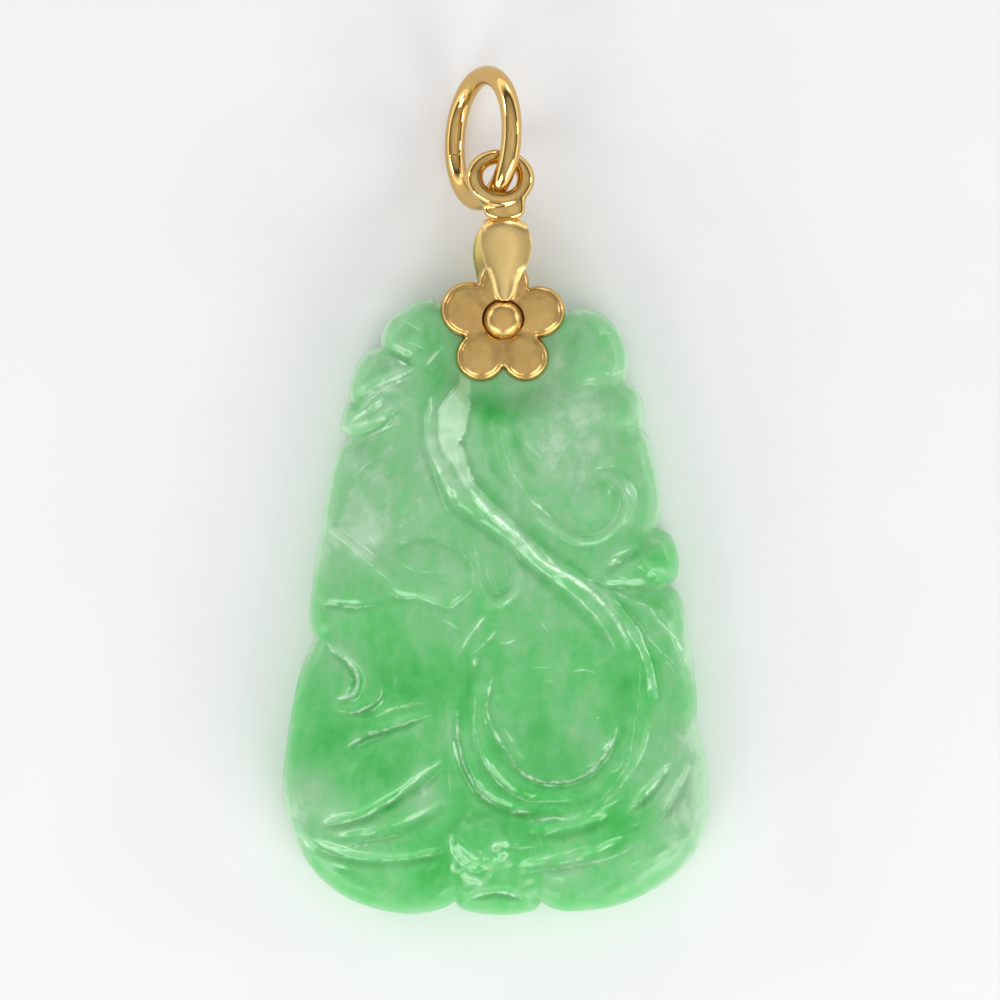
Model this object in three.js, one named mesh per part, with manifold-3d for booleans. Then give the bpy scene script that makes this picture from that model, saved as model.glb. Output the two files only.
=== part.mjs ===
import * as THREE from "three";
import { mergeVertices } from "three/addons/utils/BufferGeometryUtils.js";
import Module from "manifold-3d";

// A carved jade pendant in a yellow gold mount, lying on its back, in millimetres.
// The drawing has +X to the pendant's right, +Y towards its ring and +Z out of its carved face.

// Driving dimensions of the jade.
const JADE = {
  rim: 2.9, // thickness at the rim, before the edge is rounded
  crown: 1.45, // how much thicker the middle is
  crownReach: 5.5, // distance from the edge at which the crown is full
  edgeRadius: 0.95,
  backRadius: 0.5,
  seat: 3.5, // height of the flat that carries the flower
  seatRadius: 3.4,
  seatFade: 2.2,
  seatCarvingFade: 0.5, // the carving starts over this distance outside the seat
  carvingFade: 0.7, // the carving dies out over this distance from the edge
};
const GRID = { columns: 40, rows: 58, crowding: 0.18 };
// A line of the carving gains depth and width over this distance from each end, from this share of its width.
const TAPER = { length: 1.7, narrowest: 0.8 };
// The back is cut away behind the mount, so that its rear plate doesn't lift the stone.
const BACK_CUT = { start: 6.4, full: 7.2, depth: 0.66 };

// Driving dimensions of the gold.
const FLOWER = {
  centre: [0.16, 8.97],
  base: 3.55,
  wall: 0.5,
  dome: 0.42,
  wellRadius: 1.05, // the level place in the middle that carries the bead
  wellHeight: 0.66,
  stepsAcrossPetal: 12,
};
// The petals are round and a little uneven: direction in degrees, distance of the middle, radius.
const PETALS = [
  [12.8, 1.86, 1.3],
  [90, 1.8, 1.3],
  [163.3, 1.82, 1.4],
  [238.4, 2.12, 1.28],
  [300.3, 2.18, 1.2],
];
const BEAD = { radius: 0.94, foot: 0.2, height: 0.85, gap: 0.03 };
const STRAP = { thickness: 0.42, edgeThickness: 0.22, stations: 34 };
const EYELET = { centre: [0, 15.95, 4.6], radius: 1.32, wire: 0.84, tilt: 15, towards: 60 };
const COLLAR = { centre: [0.2, 14.64], half: [1.12, 0.4, 0.44], squareness: 4 };
const RING = {
  centre: [-0.85, 18.1, 2.95],
  halfLength: 3.15, // to the middle of the wire, along the pendant
  halfWidth: 2.8,
  wire: 1.0,
  tilt: 59.4, // degrees that the ring turns about its long axis
  lean: -3.1,
};

// The outline, counter-clockwise, one curve from each notch to the next.
const LOBES = [
  // lower left lobe, from the notch in the left side round to the notch in the foot
  [[-9.25, -6.9], [-10, -8.5], [-10.4, -10.25], [-10.75, -12.5], [-10.9, -14.35], [-10.55, -16.25],
    [-9.6, -18.25], [-8.25, -19.65], [-6.5, -20.45], [-4.5, -20.8], [-3, -20.55], [-2.25, -20.15]],
  // tab at the foot
  [[-2.25, -20.15], [-1.75, -20.62], [0, -20.85], [1.6, -20.65], [2.05, -20.2]],
  // lower right lobe
  [[2.05, -20.2], [3, -20.62], [4.5, -20.6], [6.25, -20.25], [8.25, -19.25], [9.5, -18.05],
    [10.25, -16.65], [10.48, -14.75], [10.35, -13], [10.05, -11.75], [9.85, -11.1]],
  // right side
  [[9.85, -11.1], [9.9, -10], [9.7, -8.25], [9.4, -6.25], [9.05, -4.85], [8.45, -4.25]],
  // small lobe on the right
  [[8.45, -4.25], [8.85, -3.9], [9, -3.15], [8.8, -2.25], [8.45, -1.65], [7.85, -1.4]],
  // upper right side
  [[7.85, -1.4], [8.05, -0.5], [8, 0.75], [7.75, 1.85], [7.5, 3], [7.1, 3.6]],
  // right shoulder
  [[7.1, 3.6], [7.3, 4.35], [7.1, 5.15], [6.8, 5.6], [6.3, 6]],
  // top right lobe
  [[6.3, 6], [6.45, 7.1], [6.1, 8.25], [5.4, 9.1], [4.7, 9.5], [3.9, 9.6], [3.35, 9.45]],
  // top edge under the flower
  [[3.35, 9.45], [2.5, 9.9], [0.15, 10.05], [-2.25, 9.95], [-3.05, 9.85], [-3.35, 10.08]],
  // first leaf lobe
  [[-3.35, 10.08], [-4.1, 10], [-5, 9.5], [-5.65, 8.9], [-5.95, 8.25], [-5.98, 7.65]],
  // second leaf lobe
  [[-5.98, 7.65], [-6.5, 7.52], [-7, 7.1], [-7.4, 6.35], [-7.55, 5.5], [-7.45, 4.9]],
  // third leaf lobe
  [[-7.45, 4.9], [-7.75, 4.75], [-7.9, 4.25], [-7.98, 3.6], [-7.5, 3.15]],
  // left side
  [[-7.5, 3.15], [-8.15, 2.4], [-8.45, 1.5], [-8.75, 0], [-9.05, -1.75], [-9.35, -3.75],
    [-9.55, -5.5], [-9.5, -6.4], [-9.25, -6.9]],
];
// Where the four sides of the grid meet on the outline: lower left, lower right, upper right, upper left.
const GRID_CORNERS = [[-9.5, -18.4], [9.4, -18.2], [6, 8.4], [-5.4, 9.2]];

const vector = ([x, y]) => new THREE.Vector2(x, y);
const smooth = (points, steps = 6) =>
  new THREE.SplineCurve(points.map(vector)).getPoints(steps * (points.length - 1));
const clamp01 = (v) => Math.min(1, Math.max(0, v));
const smoothstep = (low, high, v) => {
  const t = clamp01((v - low) / (high - low));
  return t * t * (3 - 2 * t);
};

// The carving: ridges and grooves along smooth lines, and mounds and dishes with an oval foot.
const ridge = (height, halfWidth, ...points) => {
  const line = smooth(points);
  const length = line.reduce((sum, p, i) => sum + (i ? p.distanceTo(line[i - 1]) : 0), 0);
  return { height, halfWidth, line, length };
};
const groove = (depth, halfWidth, ...points) => ridge(-depth, halfWidth, ...points);
const mound = (height, centre, radii, degrees = 0) => {
  const turn = THREE.MathUtils.degToRad(degrees);
  return { height, centre, radii, turn };
};

const CARVING = [
  // long stem from the flower down to the great curl
  ridge(0.42, 0.95, [-1.7, 7.7], [-2.15, 6.2], [-3, 4.25], [-3.1, 3], [-2.25, 1.1], [-1, -0.1],
    [1.35, -2.15], [4.15, -4.35], [5.35, -5.5], [6.5, -7.5], [7, -9.85], [6.7, -11.75], [5.85, -13.75],
    [4.5, -15.2], [2.6, -15.7]),
  groove(0.3, 0.5, [-1.6, 7.4], [-1.65, 6], [-1.7, 4], [-2, 2.6], [-1.2, 1], [0.4, -0.6], [2.4, -2.4],
    [4.6, -4], [6.3, -5.6], [7.6, -7.9], [8.1, -10.4]),
  groove(0.3, 0.5, [-3.4, 6.3], [-3.8, 4.6], [-3.8, 3], [-3.2, 1.2], [-2.3, -0.3], [-0.6, -1.5], [1.2, -3],
    [3, -4.6], [4.6, -6.1], [5.6, -7.7]),
  // great curl: its band, its dish and the groove outside it
  ridge(0.36, 0.62, [-0.45, -7.6], [-0.95, -8.75], [-1.15, -10.25], [-0.95, -11.75], [-0.25, -13],
    [0.9, -14.05], [2.5, -14.55], [4.1, -14.4], [5.35, -13.45], [6.05, -12]),
  mound(-0.4, [2.85, -10.6], [2.9, 2.9]),
  groove(0.32, 0.5, [-2.15, -10.4], [-2.1, -12], [-1.5, -13.85], [-0.15, -15.2], [2, -15.6], [4.2, -15.4]),
  // upper right scroll
  ridge(0.3, 0.55, [1.05, 0.65], [1.85, -0.6], [3.15, -1.7], [4.5, -1.95], [5.85, -1.2], [6.35, 0],
    [5.85, 1.05], [4.9, 1.5]),
  mound(0.25, [4.5, -0.1], [1.2, 1.1]),
  // teardrop loop and the bud beside it
  ridge(0.26, 0.5, [-1.5, -1.65], [-1.25, -3], [-1.15, -4], [-0.65, -5], [0.1, -5.1], [0.8, -4.3],
    [0.85, -3], [0.15, -2]),
  mound(0.45, [-3.5, -3.6], [2.4, 1.75], -12),
  // ridge and level cut on the left
  ridge(0.22, 0.65, [-8.9, -1.1], [-7.4, -2.4], [-6, -3.5], [-4.5, -4.8]),
  groove(0.2, 0.45, [-9.3, -5.2], [-7.5, -5.25], [-5.6, -5.1]),
  // two hooks
  groove(0.42, 0.5, [-8.85, -7.15], [-7.65, -8.15], [-7.1, -8.85], [-7.35, -9.65], [-8.1, -9.9]),
  groove(0.3, 0.45, [-5.9, -9.15], [-6, -10], [-6.85, -10.5], [-8.35, -10.4]),
  groove(0.3, 0.45, [-7.75, -12.4], [-5.75, -11.5], [-3.4, -10.7]),
  // large lobes
  mound(0.4, [-7.6, -13.7], [3, 2.5], 20),
  mound(0.3, [8, -17.2], [2.9, 1.8], 50),
  mound(0.25, [8, -2.85], [1.3, 1.25]),
  mound(0.4, [5, 7.4], [2.1, 2]),
  mound(0.25, [6, 4.7], [1.6, 1.2]),
  // leaf of three lobes on the upper left, and the cuts between them
  mound(0.38, [-4.7, 8.55], [1.9, 1.35], 30),
  mound(0.38, [-6.2, 6.3], [1.9, 1.3], 28),
  mound(0.3, [-6.5, 4.3], [1.7, 0.85], 28),
  groove(0.35, 0.5, [-6, 7.65], [-5, 7.2], [-4.1, 6.6]),
  groove(0.35, 0.5, [-7.5, 4.9], [-6.25, 5.6], [-4.3, 6.5]),
  groove(0.35, 0.5, [-7.5, 3.1], [-6, 3.75], [-4.8, 4.7]),
  // feather cuts on the lower left
  groove(0.4, 0.5, [-2.85, -13.2], [-4.5, -14.5], [-6.5, -15.7], [-9.1, -16.35]),
  groove(0.3, 0.5, [-2.5, -15.15], [-5, -16.4], [-8.5, -17]),
  groove(0.3, 0.5, [-2.5, -17.5], [-4.85, -18], [-7.15, -17.95], [-9.3, -17.2]),
  // crinkled knot low in the middle
  mound(0.5, [-1, -17], [1.55, 1.55]),
  // feather cuts on the lower right
  groove(0.35, 0.5, [8.5, -13.1], [7.5, -14.5], [6.4, -15.6]),
  groove(0.3, 0.5, [9.5, -13.2], [8.8, -14.9], [7.6, -16.2]),
  groove(0.3, 0.5, [0.9, -16.7], [3.6, -16.5], [5.8, -15.7]),
  groove(0.3, 0.5, [0.85, -18.3], [4.1, -17.9], [6.9, -16.7]),
  // fan of the leaf on the right, and its lower edge
  groove(0.28, 0.45, [4.9, -3.85], [6, -3.1], [7.1, -2.3]),
  groove(0.28, 0.45, [5, -4.3], [6.4, -4.3], [7.8, -4.4]),
  ridge(0.3, 0.5, [5.65, -4.75], [7.35, -5.4], [8.5, -6.8], [9.2, -8.8]),
  // ribs to the right of the stem
  groove(0.28, 0.45, [-0.4, 6.9], [-0.5, 5.5], [-0.7, 3.5], [-0.2, 1.6], [0.9, 0.2]),
  groove(0.28, 0.45, [0.9, 6.8], [0.8, 5.4], [0.7, 3.5], [1.2, 2], [2.2, 0.8]),
  // arc over the tab
  groove(0.3, 0.45, [-1.7, -20], [-0.1, -19.6], [1.5, -20.05]),
];

// The nearest place on a line to a point: its distance and its share of the way along.
function nearest(line, x, y) {
  let best = Infinity;
  let share = 0;
  for (let i = 0; i + 1 < line.length; i++) {
    const a = line[i];
    const b = line[i + 1];
    const dx = b.x - a.x;
    const dy = b.y - a.y;
    const t = clamp01(((x - a.x) * dx + (y - a.y) * dy) / (dx * dx + dy * dy));
    const d = Math.hypot(x - a.x - t * dx, y - a.y - t * dy);
    if (d < best) {
      best = d;
      share = (i + t) / (line.length - 1);
    }
  }
  return { distance: best, share };
}

// What one form of the carving adds to the face: a bell across a line that tapers at its ends, or a pillow.
function formHeight(form, x, y) {
  if (form.line) {
    const { distance, share } = nearest(form.line, x, y);
    const taper = smoothstep(0, TAPER.length, Math.min(share, 1 - share) * form.length);
    const halfWidth = form.halfWidth * (TAPER.narrowest + (1 - TAPER.narrowest) * taper);
    if (distance >= halfWidth) return 0;
    return form.height * taper * (0.5 + 0.5 * Math.cos((Math.PI * distance) / halfWidth));
  }
  const dx = x - form.centre[0];
  const dy = y - form.centre[1];
  const u = (dx * Math.cos(form.turn) + dy * Math.sin(form.turn)) / form.radii[0];
  const v = (dy * Math.cos(form.turn) - dx * Math.sin(form.turn)) / form.radii[1];
  const q = u * u + v * v;
  return q < 1 ? form.height * (1 - q * q) ** 2 : 0;
}

const outline = LOBES.flatMap((lobe) => smooth(lobe, 8).slice(0, -1));
const notches = LOBES.map((lobe) => vector(lobe[0]));
const closedOutline = [...outline, outline[0]];

// Height of the carved face above the table.
function faceHeight(x, y) {
  const inside = nearest(closedOutline, x, y).distance;
  const crown = JADE.crown * Math.sin((Math.PI / 2) * Math.min(1, inside / JADE.crownReach));
  const carved = CARVING.reduce((sum, form) => sum + formHeight(form, x, y), 0);
  const fromSeat = Math.hypot(x - FLOWER.centre[0], y - FLOWER.centre[1]) - JADE.seatRadius;
  const plain = JADE.seat + (JADE.rim + crown - JADE.seat) * smoothstep(0, JADE.seatFade, fromSeat);
  const open = smoothstep(0, JADE.carvingFade, inside) * smoothstep(0, JADE.seatCarvingFade, fromSeat);
  const level = plain + carved * open;
  const edge = Math.max(0, 1 - inside / JADE.edgeRadius);
  return level - JADE.edgeRadius * (1 - Math.sqrt(1 - edge * edge));
}

// A side of the grid: points at even steps along the outline between two corners, on each notch it passes.
function outlineSide(from, to, cells, crowding) {
  const index = (corner) => {
    const distances = outline.map((p) => p.distanceTo(vector(corner)));
    return distances.indexOf(Math.min(...distances));
  };
  const first = index(from);
  const last = index(to);
  const run = [outline[first]];
  for (let i = first; i !== last; i = (i + 1) % outline.length) {
    run.push(outline[(i + 1) % outline.length]);
  }
  const lengths = [0];
  for (let i = 1; i < run.length; i++) lengths.push(lengths[i - 1] + run[i].distanceTo(run[i - 1]));
  const total = lengths[lengths.length - 1];
  const points = [];
  for (let k = 0; k <= cells; k++) {
    const s = k / cells;
    const along = total * (s - (crowding * Math.sin(2 * Math.PI * s)) / (2 * Math.PI));
    let i = 1;
    while (i < run.length - 1 && lengths[i] < along) i++;
    const t = clamp01((along - lengths[i - 1]) / (lengths[i] - lengths[i - 1]));
    points.push(run[i - 1].clone().lerp(run[i], t));
  }
  const reach = total / cells / 2;
  for (const notch of notches) {
    const distances = points.map((p) => p.distanceTo(notch));
    const near = distances.indexOf(Math.min(...distances));
    if (distances[near] < reach && near > 0 && near < cells) points[near].copy(notch);
  }
  return points;
}

// A closed surface from a list of vertices and one of triangles, each facing out.
function surface(vertices, triangles) {
  const geometry = new THREE.BufferGeometry();
  geometry.setAttribute("position", new THREE.Float32BufferAttribute(vertices.flat(), 3));
  geometry.setIndex(triangles.flat());
  return geometry;
}

// Triangles between two equal closed rings of vertices that start at the given indices.
function band(low, high, count) {
  const triangles = [];
  for (let i = 0; i < count; i++) {
    const next = (i + 1) % count;
    triangles.push([low + i, low + next, high + next], [low + i, high + next, high + i]);
  }
  return triangles;
}

// The jade: a grid over the face, blended from the four sides of the outline, then the wall and the back.
function jadePlaque() {
  const { columns, rows, crowding } = GRID;
  const [lowerLeft, lowerRight, upperRight, upperLeft] = GRID_CORNERS;
  const bottom = outlineSide(lowerLeft, lowerRight, columns, crowding);
  const right = outlineSide(lowerRight, upperRight, rows, crowding);
  const top = outlineSide(upperRight, upperLeft, columns, crowding).reverse();
  const left = outlineSide(upperLeft, lowerLeft, rows, crowding).reverse();
  const vertices = [];
  const triangles = [];
  const at = (i, j) => j * (columns + 1) + i;
  for (let j = 0; j <= rows; j++) {
    for (let i = 0; i <= columns; i++) {
      const u = i / columns;
      const v = j / rows;
      const blend = (axis) =>
        (1 - u) * left[j][axis] + u * right[j][axis] + (1 - v) * bottom[i][axis] + v * top[i][axis] -
        (1 - u) * (1 - v) * bottom[0][axis] - u * (1 - v) * bottom[columns][axis] -
        (1 - u) * v * top[0][axis] - u * v * top[columns][axis];
      const x = blend("x");
      const y = blend("y");
      vertices.push([x, y, faceHeight(x, y)]);
    }
  }
  // Each cell is split along the diagonal that lies nearer to the carved face.
  for (let j = 0; j < rows; j++) {
    for (let i = 0; i < columns; i++) {
      const corners = [at(i, j), at(i + 1, j), at(i + 1, j + 1), at(i, j + 1)];
      const [a, b, c, d] = corners.map((k) => vertices[k]);
      const centre = faceHeight((a[0] + b[0] + c[0] + d[0]) / 4, (a[1] + b[1] + c[1] + d[1]) / 4);
      const rising = Math.abs((a[2] + c[2]) / 2 - centre);
      const falling = Math.abs((b[2] + d[2]) / 2 - centre);
      const turn = rising <= falling ? 0 : 1;
      const [p, q, r, s] = [0, 1, 2, 3].map((k) => corners[(k + turn) % 4]);
      triangles.push([p, q, r], [p, r, s]);
    }
  }
  const rim = [
    ...Array.from({ length: columns }, (_, i) => at(i, 0)),
    ...Array.from({ length: rows }, (_, j) => at(columns, j)),
    ...Array.from({ length: columns }, (_, i) => at(columns - i, rows)),
    ...Array.from({ length: rows }, (_, j) => at(0, rows - j)),
  ];
  const count = rim.length;
  const point = (i) => vertices[rim[(i + count) % count]];
  const inward = rim.map((_, i) => {
    const a = point(i - 2);
    const b = point(i + 2);
    return new THREE.Vector2(a[1] - b[1], b[0] - a[0]).normalize();
  });
  const ringAt = (inset, z) => {
    const start = vertices.length;
    rim.forEach((_, i) => {
      const [x, y] = point(i);
      vertices.push([x + inset * inward[i].x, y + inset * inward[i].y, z]);
    });
    return start;
  };
  const r = JADE.backRadius;
  const copy = vertices.length;
  rim.forEach((index) => vertices.push([...vertices[index]]));
  const wall = ringAt(0, r);
  const rounding = ringAt(r * 0.29, r * 0.29);
  const foot = ringAt(r, 0);
  triangles.push(...band(wall, copy, count), ...band(rounding, wall, count), ...band(foot, rounding, count));
  const back = vertices.slice(foot).map(vector);
  for (const [a, b, c] of THREE.ShapeUtils.triangulateShape(back, [])) {
    triangles.push([foot + a, foot + c, foot + b]);
  }
  return surface(vertices, triangles);
}

// The wedge that is cut from the back of the jade behind the mount.
function backCut() {
  const { start, full, depth } = BACK_CUT;
  const reach = 12;
  const corners = [[start, 0], [full, depth], [reach, depth], [reach, -1], [start - 1, -1]];
  const profile = new THREE.Shape(corners.map(vector));
  const geometry = new THREE.ExtrudeGeometry(profile, { depth: 2 * reach, bevelEnabled: false });
  // the profile's first axis becomes Y, its second Z, and the extrusion runs along X
  const turn = new THREE.Matrix4().makeBasis(
    new THREE.Vector3(0, 1, 0),
    new THREE.Vector3(0, 0, 1),
    new THREE.Vector3(1, 0, 0),
  );
  return geometry.applyMatrix4(turn).translate(-reach, 0, 0);
}

// How far one petal reaches in a direction from the flower's middle.
function petalReach([degrees, offset, radius], angle) {
  const off = angle - THREE.MathUtils.degToRad(degrees);
  const across = offset * Math.sin(off);
  if (Math.cos(off) < 0 || Math.abs(across) > radius) return 0;
  return offset * Math.cos(off) + Math.sqrt(radius ** 2 - across ** 2);
}

// The direction in which two neighbouring petals reach equally far, found by halving the angle between them.
function petalNotch(petal, next) {
  let low = THREE.MathUtils.degToRad(petal[0]);
  let high = THREE.MathUtils.degToRad(next[0] < petal[0] ? next[0] + 360 : next[0]);
  for (let step = 0; step < 30; step++) {
    const middle = (low + high) / 2;
    if (petalReach(petal, middle) > petalReach(next, middle)) low = middle;
    else high = middle;
  }
  return low;
}

// Height of the flower's top over its base: a dome on each petal, meeting in valleys.
function flowerTop(x, y) {
  const domes = PETALS.map(([degrees, offset, radius]) => {
    const angle = THREE.MathUtils.degToRad(degrees);
    const q = Math.hypot(x - offset * Math.cos(angle), y - offset * Math.sin(angle)) / radius;
    return FLOWER.dome * Math.sqrt(Math.max(0, 1 - q * q));
  });
  return FLOWER.wall + Math.max(...domes);
}

function flower() {
  const shares = [0.04, 0.22, 0.42, 0.62, 0.8, 0.93, 1];
  const count = PETALS.length;
  const steps = FLOWER.stepsAcrossPetal;
  const notches = PETALS.map((petal, k) => petalNotch(PETALS[(k + count - 1) % count], petal));
  const angles = notches.flatMap((from, k) => {
    const turn = notches[(k + 1) % count] - from;
    const width = ((turn % (2 * Math.PI)) + 2 * Math.PI) % (2 * Math.PI);
    return Array.from({ length: steps }, (_, i) => from + (width * i) / steps);
  });
  const around = angles.length;
  const vertices = [];
  const triangles = [];
  const ring = (share, height) => {
    const start = vertices.length;
    for (const angle of angles) {
      const edge = Math.max(...PETALS.map((petal) => petalReach(petal, angle)));
      const radius = FLOWER.wellRadius + share * (edge - FLOWER.wellRadius);
      const x = radius * Math.cos(angle);
      const y = radius * Math.sin(angle);
      vertices.push([x, y, height ?? flowerTop(x, y)]);
    }
    return start;
  };
  vertices.push([0, 0, FLOWER.wellHeight], [0, 0, 0]);
  const rings = [ring(0, FLOWER.wellHeight), ...shares.map((share) => ring(share))];
  const foot = ring(1, 0);
  for (let k = 0; k + 1 < rings.length; k++) triangles.push(...band(rings[k + 1], rings[k], around));
  triangles.push(...band(foot, rings[rings.length - 1], around));
  for (let i = 0; i < around; i++) {
    const next = (i + 1) % around;
    triangles.push([0, rings[0] + i, rings[0] + next], [1, foot + next, foot + i]);
  }
  return surface(vertices, triangles);
}

// The bead: a short upright foot under a dome.
function centreBead() {
  const { radius, foot, height } = BEAD;
  const profile = [[0, 0], [radius * 0.94, 0], [radius, foot * 0.4], [radius, foot]];
  for (const degrees of [20, 42, 64]) {
    const a = THREE.MathUtils.degToRad(degrees);
    profile.push([radius * Math.cos(a), foot + (height - foot) * Math.sin(a)]);
  }
  profile.push([0, height]);
  return new THREE.LatheGeometry(profile.map(vector), 20).rotateX(Math.PI / 2);
}

// The strap's inner face, from the tip of its tongue over the fold to the far end of its rear plate:
// x, y, z and half the width there.
const STRAP_LINE = [
  [0.2, 9.98, 4.56, 0.06], [0.2, 10.2, 4.57, 0.46], [0.22, 10.6, 4.6, 0.74], [0.25, 11.25, 4.66, 0.93],
  [0.32, 12, 4.72, 1.17], [0.3, 12.8, 4.72, 1.28], [0.24, 13.45, 4.66, 1.16], [0.17, 13.78, 4.3, 1],
  [0.06, 13.68, 3.75, 0.94], [-0.05, 13.1, 2.95, 1.18], [-0.08, 12.3, 2.1, 1.28], [-0.02, 11.4, 1.25, 1.2],
  [0.1, 10.5, 0.66, 1.15], [0.15, 9.8, 0.56, 1.33], [0.15, 8.9, 0.56, 1.6], [0.15, 8.1, 0.56, 1.38],
  [0.15, 7.55, 0.56, 0.85], [0.15, 7.3, 0.56, 0.1],
];

// A strip swept along that line: flat inside, crowned outside, with thinner edges.
function bailStrap() {
  const path = new THREE.CatmullRomCurve3(STRAP_LINE.map(([x, y, z]) => new THREE.Vector3(x, y, z)));
  const widths = new THREE.SplineCurve(STRAP_LINE.map((p) => new THREE.Vector2(0, p[3])));
  const across = [-1, -0.72, -0.38, 0, 0.38, 0.72, 1];
  const section = across.length + 2;
  const vertices = [];
  const triangles = [];
  for (let k = 0; k <= STRAP.stations; k++) {
    const t = k / STRAP.stations;
    const middle = path.getPoint(t);
    const tangent = path.getTangent(t);
    const out = new THREE.Vector3(0, -tangent.z, tangent.y).normalize();
    const half = Math.max(0.05, widths.getPoint(t).y);
    const place = (share, lift) =>
      vertices.push([middle.x + share * half, middle.y + out.y * lift, middle.z + out.z * lift]);
    for (const share of across) {
      const crown = (STRAP.thickness - STRAP.edgeThickness) * (1 - share * share);
      place(share, STRAP.edgeThickness + crown);
    }
    place(1, 0);
    place(-1, 0);
  }
  for (let k = 0; k < STRAP.stations; k++) triangles.push(...band(k * section, (k + 1) * section, section));
  const last = STRAP.stations * section;
  for (let i = 1; i + 1 < section; i++) triangles.push([0, i + 1, i], [last, last + i, last + i + 1]);
  return surface(vertices, triangles);
}

// A ball pressed towards a block with the given half sizes: each point is scaled to length one in a higher
// norm.
function roundedBlock(half, squareness) {
  const geometry = new THREE.SphereGeometry(1, 14, 8);
  const position = geometry.attributes.position;
  for (let i = 0; i < position.count; i++) {
    const p = [position.getX(i), position.getY(i), position.getZ(i)];
    const size = p.reduce((sum, v) => sum + Math.abs(v) ** squareness, 0) ** (1 / squareness);
    position.setXYZ(i, ...p.map((v, axis) => (half[axis] * v) / size));
  }
  return geometry;
}

// The eyelet: a round wire ring, turned a little so that the jump ring passes, and the collar under it.
function eyelet(tools) {
  const ring = new THREE.TorusGeometry(EYELET.radius, EYELET.wire / 2, 10, 26);
  const tilt = THREE.MathUtils.degToRad(EYELET.tilt);
  const towards = THREE.MathUtils.degToRad(EYELET.towards);
  const facing = new THREE.Vector3(
    Math.sin(tilt) * Math.cos(towards),
    Math.sin(tilt) * Math.sin(towards),
    Math.cos(tilt),
  );
  ring.applyQuaternion(new THREE.Quaternion().setFromUnitVectors(new THREE.Vector3(0, 0, 1), facing));
  ring.translate(...EYELET.centre);
  const drop = EYELET.centre[1] - COLLAR.centre[1];
  const collarHeight = EYELET.centre[2] + (facing.y * drop) / facing.z;
  const collar = roundedBlock(COLLAR.half, COLLAR.squareness).translate(...COLLAR.centre, collarHeight);
  return tools.geometry(tools.solid(ring).add(tools.solid(collar)));
}

// The jump ring: round wire along a slightly oval path, drawn upright and then turned and leant as it lies.
function jumpRing() {
  const steps = 38;
  const sides = 10;
  const vertices = [];
  const triangles = [];
  for (let k = 0; k < steps; k++) {
    const a = (2 * Math.PI * k) / steps;
    const centre = new THREE.Vector3(RING.halfWidth * Math.cos(a), RING.halfLength * Math.sin(a), 0);
    const out = new THREE.Vector3(RING.halfLength * Math.cos(a), RING.halfWidth * Math.sin(a), 0).normalize();
    for (let i = 0; i < sides; i++) {
      const b = (2 * Math.PI * i) / sides;
      const p = centre.clone().addScaledVector(out, (RING.wire / 2) * Math.cos(b));
      p.z += (RING.wire / 2) * Math.sin(b);
      vertices.push(p.toArray());
    }
  }
  for (let k = 0; k < steps; k++) triangles.push(...band(((k + 1) % steps) * sides, k * sides, sides));
  return surface(vertices, triangles)
    .rotateY(-THREE.MathUtils.degToRad(RING.tilt))
    .rotateZ(THREE.MathUtils.degToRad(RING.lean))
    .translate(...RING.centre);
}

// Joins and cuts closed surfaces.
async function solidTools() {
  const wasm = await Module();
  wasm.setup();
  return {
    solid(geometry) {
      const bare = geometry.clone();
      bare.deleteAttribute("normal");
      bare.deleteAttribute("uv");
      const merged = mergeVertices(bare, 1e-4);
      return new wasm.Manifold(
        new wasm.Mesh({
          numProp: 3,
          vertProperties: merged.attributes.position.array,
          triVerts: new Uint32Array(merged.index.array),
        }),
      );
    },
    geometry(solid) {
      const mesh = solid.getMesh();
      const made = new THREE.BufferGeometry();
      made.setAttribute("position", new THREE.BufferAttribute(mesh.vertProperties, 3));
      made.setIndex(new THREE.BufferAttribute(mesh.triVerts, 1));
      return made;
    },
  };
}

const tools = await solidTools();
const jadeFinish = new THREE.MeshStandardMaterial({ color: 0x86cf8a, roughness: 0.15, metalness: 0 });
const goldFinish = new THREE.MeshStandardMaterial({ color: 0xd9ad5c, roughness: 0.3, metalness: 1 });

const group = new THREE.Group();
const add = (name, geometry, material) => {
  geometry.computeVertexNormals();
  const mesh = new THREE.Mesh(geometry, material);
  mesh.name = name;
  group.add(mesh);
  return mesh;
};

const carved = tools.solid(jadePlaque()).subtract(tools.solid(backCut()));
add("jade_plaque", tools.geometry(carved), jadeFinish);
add("flower", flower(), goldFinish).position.set(...FLOWER.centre, FLOWER.base);
add("centre_bead", centreBead(), goldFinish)
  .position.set(...FLOWER.centre, FLOWER.base + FLOWER.wellHeight + BEAD.gap);
add("bail_strap", bailStrap(), goldFinish);
add("eyelet", eyelet(tools), goldFinish);
add("jump_ring", jumpRing(), goldFinish);

// The part's origin is the middle of its footprint, on the table.
const box = new THREE.Box3().setFromObject(group, true);
const middle = box.getCenter(new THREE.Vector3());
group.position.set(-middle.x, -middle.y, -box.min.z);

export default group;
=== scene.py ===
"""A carved jade pendant in a yellow gold mount, lying on its back under soft studio light.

Every shape is worked out in the pendant's drawing: millimetres, with X to its right, Y towards its ring and Z out
of its carved face. Drawing.place turns the finished points into metres in the model's frame.
"""

import logging
from dataclasses import dataclass
from enum import Enum

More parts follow.
